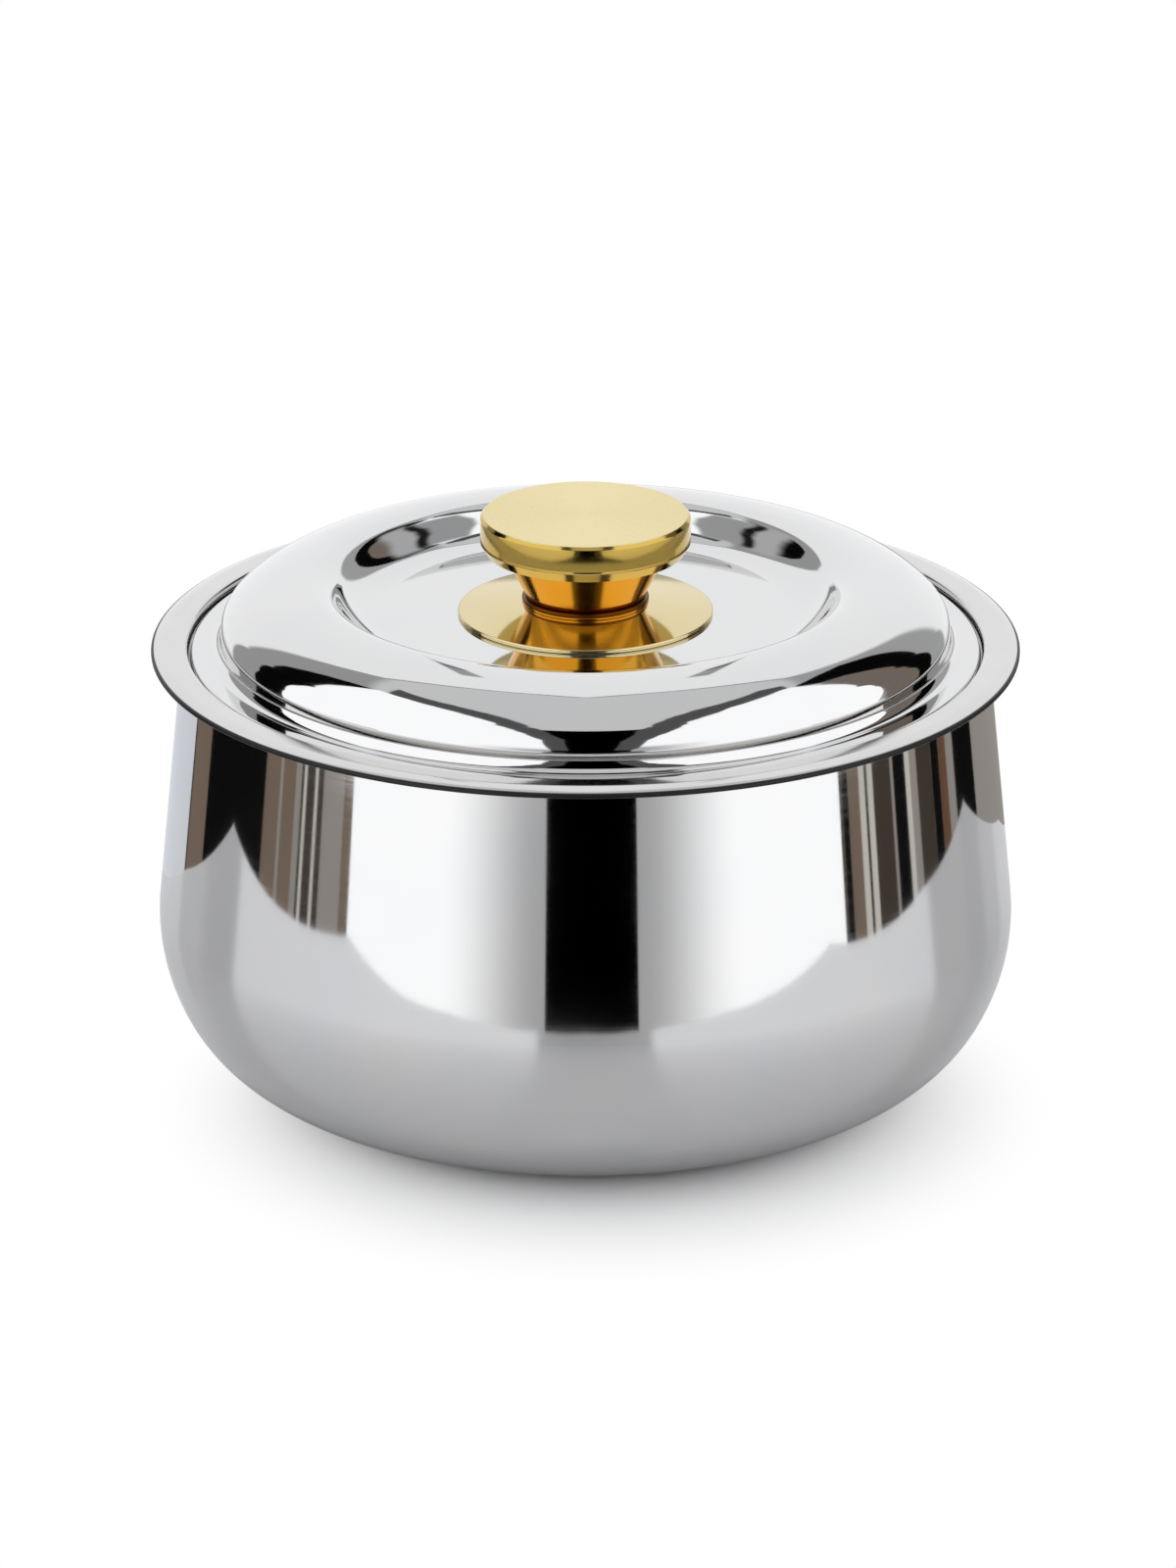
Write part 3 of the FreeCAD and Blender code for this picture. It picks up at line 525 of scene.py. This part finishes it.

# %% [markdown]
# ### Bowl and rim
#
# The bowl's sheet is rolled over the shell's flange, which makes the rim and locks the two skins. The seam
# was pressed hard between rollers, so its edge is thinner than three loose gauges of sheet. The shade under
# that edge is painted on its outer face as a thin band of dark, duller steel. The rim is flat and wide, falls
# a little towards its edge, and drops inside to the ledge that the lid rests on; the shade under the lid's
# flange is painted on that ledge. Below the ledge the bowl goes down to a round corner and a flat floor.

# %% Bowl and rim
rim_fall, rim_fall_run, crown_share = 1.25 * mm, 2.6 * mm, 0.645
rim_lip, hem_width, hem_round = 2.3 * mm, 3.6 * mm, 0.45 * mm
wall_gap, mouth_round = 0.2 * mm, 1.5 * mm
seat_depth, seat_width, seat_round = 3.6 * mm, 5.2 * mm, 0.9 * mm
throat_round, bowl_draft, bowl_round = 2 * mm, 3 * mm, 28 * mm
floor_foam = 8.1 * mm

rim_slope = math.atan2(rim_fall, rim_fall_run)
rim_crown = crown_share * math.hypot(rim_fall, rim_fall_run) / math.tan(rim_slope / 2)
mouth_radius = neck_radius - 2 * steel - wall_gap
seat_level = body_height - seat_depth
throat_radius = mouth_radius - seat_width
floor_level = recess_level + floor_foam + 2 * steel
bowl = [
    (rim_radius - hem_width, body_height - rim_lip),
    (rim_radius, body_height - rim_lip, hem_round),
    (rim_radius, body_height - rim_fall, hem_round),
    (rim_radius - rim_fall_run, body_height, rim_crown),
    (mouth_radius, body_height, mouth_round),
    (mouth_radius, seat_level, seat_round),
    (throat_radius, seat_level, throat_round),
    (throat_radius - bowl_draft, floor_level, bowl_round),
    (0, floor_level),
]
# The outer edge of the rolled hem is darkened in colour: painted shade under the rim's edge.
hem_shade_start, hem_shade_fade = rim_radius - 0.6 * mm, 0.35 * mm
hem_shade_colour, hem_shade_roughness = "#343332", 0.35
# The seat's ledge under the lid's flange is darkened in colour: painted shade.
seat_shade_start, seat_shade_end, seat_shade_fade = throat_radius + 0.3 * mm, mouth_radius - 0.8 * mm, 0.25 * mm
seat_shade_colour, seat_shade_roughness = "#4C4B49", 0.42
tree = rim_steel.node_tree
# Painted shade on the seat's ledge.
lay_over(tree, rim_metal, between(tree, from_axis(tree), seat_shade_start, seat_shade_end, seat_shade_fade),
         linear(seat_shade_colour), seat_shade_roughness)
# Painted shade on the hem's outer edge.
lay_over(tree, rim_metal, between(tree, from_axis(tree), hem_shade_start, rim_radius, hem_shade_fade),
         linear(hem_shade_colour), hem_shade_roughness)
liner_bowl = lathe("bowl_and_rim", sheet_section(bowl, steel), rim_steel)

# %% [markdown]
# ## Lid
#
# The lid's skin has a hemmed flange, a steep shoulder, a long crown, and a sunken middle that its wall
# reaches in an S. The bends are wide, because sheet that is spun over a wooden former can't turn sharply.
# Under it lies a shallow pan, whose flange is folded into the hem.

# %% Dome
hem_gap, edge_round = 0.1 * mm, 0.85 * mm
lid_side_gap, lid_hem_width, lid_flange_width = 1 * mm, 3 * mm, 8.2 * mm
shoulder_rise, crest_rise, well_rise = 8.6 * mm, 19.4 * mm, 9.5 * mm
shoulder_run, crest_width, well_wall_run = 12 * mm, 17 * mm, 8.3 * mm
dome_foot_round, shoulder_round, crest_round = 3.35 * mm, 8.3 * mm, 31 * mm
inner_round, well_round = 9.8 * mm, 14.1 * mm
screw_hole_radius = 3.2 * mm

flange_level = seat_level + 3 * steel + 2 * hem_gap
shoulder_level = flange_level + shoulder_rise
crest_level = flange_level + crest_rise
well_level = flange_level + well_rise
lid_radius = mouth_radius - lid_side_gap
dome_radius = lid_radius - lid_flange_width
crest_outer = dome_radius - shoulder_run
crest_inner = crest_outer - crest_width
well_radius = crest_inner - well_wall_run
lid = [
    (lid_radius - lid_hem_width, seat_level),
    (lid_radius, seat_level, edge_round),
    (lid_radius, flange_level, edge_round),
    (dome_radius, flange_level, dome_foot_round),
    (dome_radius, shoulder_level, shoulder_round),
    (crest_outer, crest_level, crest_round),
    (crest_inner, crest_level, inner_round),
    (well_radius, well_level, well_round),
    (screw_hole_radius, well_level),
]
lid_outer = lathe("lid_dome", sheet_section(lid, steel), mirror_steel)

# %% Pan under the lid
pan_side_gap, pan_depth, pan_draft = 0.8 * mm, 8.4 * mm, 1.4 * mm
pan_round, pan_neck_round, pan_fold_gap = 6 * mm, 1 * mm, 0.35 * mm

pan_radius = throat_radius - pan_side_gap
pan_level = seat_level - pan_depth
pan_flange = seat_level + steel + hem_gap
pan = [
    (0, pan_level),
    (pan_radius - pan_draft, pan_level, pan_round),
    (pan_radius, pan_flange, pan_neck_round),
    (lid_radius - steel - pan_fold_gap, pan_flange),
]
lid_inner = lathe("lid_pan", sheet_section(pan, steel), satin_steel)

# %% [markdown]
# ## Knob
#
# A screw from inside the lid holds four turned pieces: a thin crowned rosette, a hollow stem that opens
# upwards from a bead, the cap's base with its flared lip and thin groove, and the drawn cap itself. Each is
# a closed section, so it has its real wall or thickness where the eye can't reach too.

# %% Rosette
rosette_radius, rosette_edge, rosette_rise, rosette_round = 35.2 * mm, 1.2 * mm, 3.5 * mm, 0.5 * mm
stem_foot_radius = 17.5 * mm

stem_level = well_level + rosette_rise
rosette = [
    (screw_hole_radius, well_level),
    (rosette_radius, well_level, rosette_round),
    (rosette_radius, well_level + rosette_edge, rosette_round),
    (stem_foot_radius, stem_level),
    (screw_hole_radius, stem_level),
    (screw_hole_radius, well_level),
]
knob_rosette = lathe("gold_rosette", rosette, pale_gold)

# %% Stem
stem_waist_radius, stem_top_radius, stem_wall = 16.2 * mm, 22.9 * mm, 1.8 * mm
stem_height, stem_bead, bead_round = 14.7 * mm, 1.8 * mm, 0.5 * mm
# A dark brown band just over the stem's bead: painted shade in the corner between the stem and the rosette.
stem_foot_shade_start, stem_foot_shade_end, stem_foot_shade_fade = stem_level + 0.9 * mm, stem_level + 2.1 * mm, 0.5 * mm
stem_foot_shade_colour, stem_foot_shade_roughness = "#6B3D0E", 0.3

cap_base_level = stem_level + stem_height
stem_lean = (stem_top_radius - stem_waist_radius) / (stem_height - stem_bead)
bore_radius = stem_waist_radius - stem_lean * stem_bead - stem_wall
stem = [
    (bore_radius, stem_level),
    (stem_foot_radius, stem_level, bead_round),
    (stem_foot_radius, stem_level + stem_bead, bead_round),
    (stem_waist_radius, stem_level + stem_bead),
    (stem_top_radius, cap_base_level),
    (stem_top_radius - stem_wall, cap_base_level),
    (bore_radius, stem_level),
]
# Painted shade over the stem's bead.
tree = deep_gold.node_tree
lay_over(tree, stem_metal, between(tree, from_table(tree), stem_foot_shade_start, stem_foot_shade_end, stem_foot_shade_fade),
         linear(stem_foot_shade_colour), stem_foot_shade_roughness)
knob_stem = lathe("gold_stem", stem, deep_gold)

# %% [markdown]
# ### Cap
#
# The cap is a drawn cup that is pressed over its base. The base flares out from its lip to the cap's width,
# and a thin groove under the cup's edge shows as a dark line. The brush went over the flat top only, in
# rings that are drawn about a third of a millimetre apart, so that they show.

# %% Cap's base
cap_radius = 29 * mm
lip_inset, lip_height, base_height = 1.6 * mm, 2.6 * mm, 3.3 * mm
groove_height, groove_depth = 0.4 * mm, 0.6 * mm
insert_hole_radius = 5.1 * mm

band_level = cap_base_level + base_height
cap_base = [
    (insert_hole_radius, cap_base_level),
    (cap_radius - lip_inset, cap_base_level),
    (cap_radius, cap_base_level + lip_height),
    (cap_radius, band_level - groove_height),
    (cap_radius - groove_depth, band_level - groove_height),
    (cap_radius - groove_depth, band_level),
    (insert_hole_radius, band_level),
    (insert_hole_radius, cap_base_level),
]
knob_cap_base = lathe("gold_cap_base", cap_base, bright_gold)

# %% Cap
cap_height, cap_wall, cap_bevel, soft_edge = 7.1 * mm, 1 * mm, 0.9 * mm, 0.3 * mm
brush_width, brush_around = 0.35 * mm, 6.0
satin_tint, satin_gloss = ("#E6D69D", "#E4D39A"), (0.27, 0.3)

cap_level = band_level + cap_height
satin_start, satin_end, satin_fade = cap_level - 0.03 * mm, cap_level + 1 * mm, 0.2 * mm
cap = [
    (0, cap_level - cap_wall),
    (cap_radius - cap_wall, cap_level - cap_wall),
    (cap_radius - cap_wall, band_level),
    (cap_radius, band_level),
    (cap_radius, cap_level - cap_bevel, soft_edge),
    (cap_radius - cap_bevel, cap_level, soft_edge),
    (0, cap_level),
]
tree = cap_gold.node_tree
brushed = ring_noise(tree, brush_width, brush_around)
lay_over(tree, cap_metal, between(tree, from_table(tree), satin_start, satin_end, satin_fade),
         blend_colour(tree, spread(tree, brushed, 0, 1), *(linear(code) for code in satin_tint)),
         spread(tree, brushed, *satin_gloss))
knob_cap = lathe("gold_cap", cap, cap_gold)
print("height with the knob:", round(cap_level / mm, 1), "mm")

# %% [markdown]
# ## Joining the frame
#
# Each turned piece rides on its body and stands for the node that it was drawn from. The foam, the plug and
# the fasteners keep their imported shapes, which are right, and only get their finish.

# %% Riding, replacing and finishing
for piece, body, node, slot in (
        (outer_shell, "base", "outer_shell", "mirror_steel"),
        (liner_bowl, "base", "liner_bowl", "mirror_steel"),
        (lid_outer, "lid", "lid_outer_skin", "mirror_steel"),
        (lid_inner, "lid", "lid_inner_skin", "inner_steel"),
        (knob_rosette, "lid", "knob_rosette", "gold_plate"),
        (knob_stem, "lid", "knob_stem", "gold_plate"),
        (knob_cap_base, "lid", "knob_cap_base", "gold_plate"),
        (knob_cap, "lid", "knob_cap", "gold_plate")):
    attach(piece, body)
    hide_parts(node)

for name, finish in (
        ("body_insulation", foam), ("lid_insulation", foam), ("fill_plug", plastic), ("knob_insert", zinc),
        ("backing_washer", zinc), ("spring_washer", zinc), ("knob_screw", zinc)):
    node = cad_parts[name]
    for holder in node.material_slots:
        holder.material = finish
    print(name, "slots:", len(node.material_slots))

# %% [markdown]
# ## The table
#
# A studio table with a matt white top, cut to the size of the set. Its colour and the soft light give its
# tone near the casserole, so the shadow and the dark line under the foot stay. Further out its surface
# turns into plain white and runs into the white room with no edge.

# %% Table
front_round, front_reach, front_points = 0.41, 42, 9
front_angles = np.radians(np.linspace(-front_reach, front_reach, front_points))
front_edge = front_round * np.stack([np.sin(front_angles), -np.cos(front_angles)], axis=1)
right_edge = [(0.376, -0.22), (0.392, 0), (0.37, 0.158)]
back_edge = [(0.2, 0.195), (-0.26, 0.135)]
left_edge = [(-0.43, 0.074), (-0.41, -0.05), (-0.385, -0.24)]
table_outline = np.vstack([front_edge, right_edge, back_edge, left_edge])
white_centre = (0.005, -0.035, 0)
shadow_reach, white_reach = 0.045, 0.128


def flat_top(name, outline, height, material, rows=24, columns=24):
    """A flat board: P(t, u) = u times the outline's point at t, fanned out from the axis at one height."""
    loop = np.vstack([outline, outline[:1]])
    sides = np.linspace(0, 1, columns, endpoint=False)[None, :, None]
    edge = (loop[:-1, None] * (1 - sides) + loop[1:, None] * sides).reshape(-1, 2)
    share = np.linspace(0, 1, rows + 1)[1:, None, None]
    points = np.vstack([np.zeros((1, 2)), (share * edge).reshape(-1, 2)])
    points = np.hstack([points, np.full((len(points), 1), height)])
    here = np.arange(len(edge))
    ring = 1 + here + len(edge) * np.arange(rows)[:, None]
    after = np.roll(ring, -1, axis=1)
    fan = np.stack([np.zeros_like(here), ring[0], after[0]], axis=1)
    quads = np.stack([ring[:-1], ring[1:], after[1:], after[:-1]], axis=-1).reshape(-1, 4)
    mesh = bpy.data.meshes.new(name)
    mesh.from_pydata(points.tolist(), [], fan.tolist() + quads.tolist())
    mesh.materials.append(material)
    piece = bpy.data.objects.new(name, mesh)
    bpy.context.scene.collection.objects.link(piece)
    print(f"{name}: {len(outline)} points in its outline")
    return piece


table_white, output = new_material("white_table")
tree = table_white.node_tree
place = add(tree, "ShaderNodeTexCoord")
beside = add(tree, "ShaderNodeVectorMath", {"operation": "SUBTRACT"},
             {0: place.outputs["Object"], 1: white_centre})
distance = add(tree, "ShaderNodeVectorMath", {"operation": "LENGTH"}, {0: beside.outputs["Vector"]})
white = add(tree, "ShaderNodeMapRange", {"interpolation_type": "SMOOTHSTEP"}, {
    "Value": distance.outputs["Value"], "From Min": shadow_reach, "From Max": white_reach})
path = add(tree, "ShaderNodeLightPath")
seen = path.outputs["Is Camera Ray"]
for ray in ("Is Glossy Ray", "Is Transmission Ray"):
    seen = add(tree, "ShaderNodeMath", {"operation": "MAXIMUM"}, {0: seen, 1: path.outputs[ray]}).outputs[0]
share = add(tree, "ShaderNodeMath", {"operation": "MULTIPLY"}, {0: seen, 1: white.outputs["Result"]})
top = add(tree, "ShaderNodeBsdfDiffuse", inputs={"Color": linear("#EDEDED")})
plain = add(tree, "ShaderNodeEmission", inputs={"Color": (1, 1, 1, 1), "Strength": 1.0})
mixed = add(tree, "ShaderNodeMixShader", inputs={"Fac": share.outputs[0], 1: top.outputs["BSDF"],
                                                 2: plain.outputs["Emission"]})
tree.links.new(mixed.outputs["Shader"], output.inputs["Surface"])
flat_top("table", table_outline, 0, table_white)

# %% [markdown]
# ### The grey board
#
# The metal mirrors a darker table than the one that the camera sees. So a polished grey board lies over
# the table, a third of a millimetre up, which only mirrors see. The belly shows where it ends against the
# dark room, at its far corners too.

# %% Grey board
board_rise = 0.3 * mm
board_grey, output = new_material("polished_grey_board")
tree = board_grey.node_tree
top = add(tree, "ShaderNodeBsdfPrincipled", inputs={"Base Color": linear("#E2E2E4"), "Roughness": 0.2})
tree.links.new(top.outputs["BSDF"], output.inputs["Surface"])
board = flat_top("grey_board", table_outline, board_rise, board_grey)
board.visible_camera = False
board.visible_diffuse = False
board.visible_shadow = False

# %% [markdown]
# ## The room in the mirror
#
# Mirror metal has no look of its own: what is seen is the room. So a room hangs round it: two large
# softboxes left and right of the camera, with a dark gap between them, an off-white wall behind, a grey
# ceiling, and dark stands and furniture beyond the table's ends. It isn't a designed set: the edges and
# tones of the cards, stripes and flags, and the table's outline, were traced back from a view of the
# polished metal by other programs, then typed in and mostly rounded. What they are called is a guess.
#
# Each card is a patch of a wide dome, given by its azimuth from the camera's side (left is negative), its
# elevation and the tone that it shows in the steel. Its light is that tone divided by what the steel
# reflects. The camera doesn't see the cards, and a card's soft edge lets through what lies behind it.

# %% Cards
room_radius = 6.0
layer_step = 0.05
card_rows, card_columns = 97, 33
steel_shine = np.array(linear(steel_colour)[:3])
layers = []

glow_material, output = new_material("studio_card")
tree = glow_material.node_tree
tone = add(tree, "ShaderNodeAttribute", {"attribute_name": "tone"})
cover = add(tree, "ShaderNodeAttribute", {"attribute_name": "cover"})
glow = add(tree, "ShaderNodeEmission", inputs={"Color": tone.outputs["Color"]})
clear = add(tree, "ShaderNodeBsdfTransparent")
mixed = add(tree, "ShaderNodeMixShader", inputs={"Fac": cover.outputs["Fac"], 1: clear.outputs["BSDF"],
                                                 2: glow.outputs["Emission"]})
tree.links.new(mixed.outputs["Shader"], output.inputs["Surface"])


def hang(name, tone, points, cover):
    """A grid of points as a glowing sheet of one tone, clear where its cover is 0."""
    index = np.arange(cover.size).reshape(cover.shape)
    faces = np.stack([index[:-1, :-1], index[:-1, 1:], index[1:, 1:], index[1:, :-1]], axis=-1)
    mesh = bpy.data.meshes.new(name)
    mesh.from_pydata(points.reshape(-1, 3).tolist(), [], faces.reshape(-1, 4).tolist())
    light = tuple(np.array(linear(tone)[:3]) / steel_shine) + (1.0,)
    tones = mesh.attributes.new("tone", "FLOAT_COLOR", "POINT")
    tones.data.foreach_set("color", np.tile(light, cover.size))
    covers = mesh.attributes.new("cover", "FLOAT", "POINT")
    covers.data.foreach_set("value", cover.ravel())
    mesh.materials.append(glow_material)
    piece = bpy.data.objects.new(name, mesh)
    piece.visible_camera = False
    bpy.context.scene.collection.objects.link(piece)
    return piece


def fading(gaps, soft):
    """Cover that rises from 0 at an edge to 1 at its soft width, as 3 t^2 - 2 t^3."""
    cover = np.ones(np.broadcast_shapes(*(gap.shape for gap in gaps)))
    for gap, width in zip(gaps, soft):
        if width:
            share = np.clip(gap / width, 0, 1)
            cover = cover * share * share * (3 - 2 * share)
    return cover


def card(name, tone, rows, soft=(0, 0, 0, 0)):
    """A patch of the dome: P = R (cos e sin a, -cos e cos a, sin e), e and a between its rows.

    A row is (elevation, left azimuth, right azimuth) in degrees. Each new card hangs in front of the
    ones before it. Soft is the width in degrees of the fading left, right, lower and upper edges.
    """
    rows = np.array(rows, float)
    elevation = np.unique(np.concatenate([np.linspace(rows[0, 0], rows[-1, 0], card_rows), rows[:, 0]]))
    left, right = (np.interp(elevation, rows[:, 0], rows[:, side])[:, None] for side in (1, 2))
    azimuth = left + (right - left) * np.linspace(0, 1, card_columns)
    height = np.broadcast_to(elevation[:, None], azimuth.shape)
    a, e = np.radians(azimuth), np.radians(height)
    radius = room_radius - layer_step * len(layers)
    points = radius * np.stack([np.cos(e) * np.sin(a), -np.cos(e) * np.cos(a), np.sin(e)], axis=-1)
    gaps = (azimuth - left, right - azimuth, height - elevation[0], elevation[-1] - height)
    hang(name, tone, points, fading(gaps, soft))
    layers.append(name)


# %% [markdown]
# ### Behind the set
#
# The lid's crest, the rim and the rosette lean back or lie flat, so what they mirror is the back wall and
# the ceiling. The wall is a roll of off-white paper whose edges curl, which makes a grey hem round it.

# %% Behind the set
card("ceiling", "#BEBEBE", [(44, -180, 180), (89.9, -180, 180)], soft=(0, 0, 6, 0))
wall_side = [(-30, 138), (34, 138), (54, 143), (58, 152), (62, 161), (69, 178)]
curl_top, curl_side = 0.5, 1
card("back_edge", "#707070", [(height, side, 360 - side) for height, side in wall_side])
card("back_wall", "#E1E1E1", [(height - curl_top, side + curl_side, 360 - side - curl_side)
                              for height, side in wall_side])

# %% [markdown]
# ### The dark gap
#
# Between the two softboxes stand the camera and its tripod in the dark. Their image is the black stripe
# down the middle of the belly and of the lid.

# %% Dark gap
card("gap", "#000000", [(-50, -66, 73), (-13, -66, 73), (-12, -16, 18), (-5, -16, 18), (45, -24, 32),
                        (66, -40, 52)])

# %% [markdown]
# ### Left of the set
#
# The left softbox is one bright card. A grey frame runs round its edge, black cloth hangs beside it, and
# its corner next to the gap gets less light from the lamp inside, so the white fades to grey there.

# %% Left of the set
card("left_frame", "#4B4B4B", [(-6, -24, -5), (34, -30, -7), (45, -44, -11), (52, -60, -14), (58, -122, -16),
                               (59, -129, -17), (65, -117, -22), (69, -109, -27), (72, -98, -33),
                               (74, -87, -48), (75, -72, -63)])
card("left_side_grey", "#8E8E8E", [(-9, -141, -121), (28, -141, -121), (56, -144, -118)], soft=(2, 0, 0, 3))
card("left_side_black", "#060606", [(-9, -122, -104), (10, -121, -104), (26, -128.6, -104), (33, -130, -104),
                                    (40, -129, -110), (45, -128, -114), (51, -125, -118), (55, -121, -119)])
card("left_softbox", "#FAFAFA", [(-26, -66, -10.4), (-9.6, -66, -10.4), (-9.5, -106, -10.4),
                                 (-6, -106, -10.4), (8, -105, -12), (30, -110, -14),
                                 (44, -118, -20.5), (51, -120, -24),
                                 (56, -121, -29), (61, -112, -34), (65, -102, -41), (68, -91, -48),
                                 (69.5, -78, -54), (70, -70, -60)])
card("left_softbox_corner", "#9E9E9E", [(-26, -39, -10.4), (-6, -39, -10.4), (4, -39, -11.8)],
     soft=(28, 0, 0, 14))

# %% [markdown]
# ### Right of the set
#
# The right softbox has the same frame and fading corner. Beyond it stand a grey-brown door and dark cloth.

# %% Right of the set
card("right_frame", "#4B4B4B", [(-6, 8.5, 24), (25, 11, 30), (38, 14.6, 42), (49, 18.4, 60), (56, 21, 122),
                                (57, 21.5, 132), (61, 23, 131), (67, 31, 117), (71, 38.5, 105),
                                (73, 50, 96), (74.5, 68, 75)])
card("right_side_grey", "#969696", [(-9, 130, 150), (28, 130, 150), (56, 128, 144)], soft=(0, 3, 0, 3))
card("right_side_black", "#060606", [(-9, 122, 133), (17, 122, 135), (31, 128, 139), (38, 128, 141),
                                     (45, 126, 141), (50, 124, 136), (55, 125, 127)])
card("right_side_taupe", "#6B625B", [(-9, 98, 124), (17, 98, 123), (31, 100, 129), (45, 112, 128),
                                     (50, 118, 125)], soft=(8, 0, 0, 0))
card("right_softbox", "#FAFAFA", [(-26, 13.7, 73), (-9.6, 13.7, 73), (-9.5, 13.7, 101), (-6, 13.7, 101),
                                  (0, 15.8, 102), (14, 17.6, 105), (26, 19.6, 108), (40, 25.4, 116),
                                  (51, 33.5, 122), (56, 38.5, 126), (58, 41, 124), (63, 48, 111),
                                  (66.5, 54, 99), (68.4, 62, 74)])
card("right_softbox_corner", "#9E9E9E", [(-26, 13.7, 43), (-6, 13.7, 43), (-0.5, 15.6, 43), (10, 17, 43)],
     soft=(0, 29, 0, 12))

# %% [markdown]
# ### Flags over the lid
#
# Small upright boards hang over the lid, out of the picture, three on each side of the knob. They keep the
# softboxes' light off the steep far wall of the sunken middle, which mirrors them as a grey corner with a
# black end. From the knob's top and from most of the lid's crown they are seen edge on, so they hardly
# show: the crown's front gets two faint traces, and from high above they are thin lines.

# %% Flags
flag_side, flag_step, flag_corner = 45 * mm, 0.5 * mm, (50 * mm, 205 * mm)


def flag(name, tone, side, layer, along, across, soft):
    """An upright sheet whose rows lean: P(u, v) = (side d, y0 + (u - v) / sqrt 2, z0 + (u + v) / sqrt 2).

    Layers are half a millimetre apart, and the nearest to the knob hides the others.
    """
    u, v = np.meshgrid(np.linspace(*along, card_columns), np.linspace(*across, card_columns))
    x = np.full(u.shape, side * (flag_side + layer * flag_step))
    y = flag_corner[0] + (u - v) / math.sqrt(2)
    z = flag_corner[1] + (u + v) / math.sqrt(2)
    points = np.stack([x, y, z], axis=-1)
    gaps = (u - along[0], along[1] - u, v - across[0], across[1] - v)
    piece = hang(name, tone, points, fading(gaps, soft))
    piece.visible_diffuse = False
    piece.visible_shadow = False


for side, name in ((-1, "left"), (1, "right")):
    flag(f"{name}_flag_end", "#101010", side, layer=1, along=(-6 * mm, 100 * mm),
         across=(-7 * mm, 7 * mm), soft=(6 * mm, 30 * mm, 5 * mm, 5 * mm))
    flag(f"{name}_flag", "#919191", side, layer=2, along=(-14 * mm, 104 * mm),
         across=(-3 * mm, 42 * mm), soft=(8 * mm, 30 * mm, 6 * mm, 6 * mm))
    flag(f"{name}_flag_edge", "#A2A2A2", side, layer=3, along=(0, 130 * mm),
         across=(-32 * mm, 0), soft=(8 * mm, 50 * mm, 12 * mm, 5 * mm))

# %% [markdown]
# ### Below the table's height
#
# The belly's sides lean out over the table and look past its ends, down to the floor of the room: stands,
# cables, cupboard doors. Close to the outline all this is squeezed into thin upright stripes.

# %% Below the table's height
def stripes(side, tones):
    """Upright stripes below the table's height, from one azimuth to the next: {azimuth: tone}."""
    edges = list(tones)
    for start, stop in zip(edges, edges[1:]):
        low, high = sorted((side * start, side * stop))
        card(f"stripe_{low:.0f}_{high:.0f}", tones[start], [(-50, low, high), (-9.5, low, high)])


brown, rust, grey, pale, dark, black, cool = ("#6A5C50", "#5E4434", "#85807A", "#B4B1A8", "#3A342D",
                                              "#0C0C0C", "#BEC0C4")
stripes(-1, {66: brown, 69: grey, 76: dark, 78: pale, 79: dark, 82: pale, 83: dark, 84: grey, 86: brown,
             91: grey, 92: brown, 98: black, 127: brown, 138: black, 139: cool, 180: cool})
stripes(1, {73: dark, 74: black, 76: brown, 80: pale, 82: dark, 83: pale, 85: dark, 92: grey, 93: black,
            98: pale, 100: grey, 103: dark, 110: black, 114: rust, 118: grey, 122: black, 135: grey,
            180: grey})
print("cards:", len(layers))

# %% [markdown]
# ## World, view and finish
#
# The room behind the cards is plain white, and the picture is shown as it is, with no film curve.

# %% World
world = bpy.data.worlds.new("studio")
bpy.context.scene.world = world
world.use_nodes = True
world.node_tree.nodes["Background"].inputs["Color"].default_value = (1, 1, 1, 1)
world.node_tree.nodes["Background"].inputs["Strength"].default_value = 1.0

# %% View and finish
bpy.context.scene.view_settings.view_transform = "Standard"
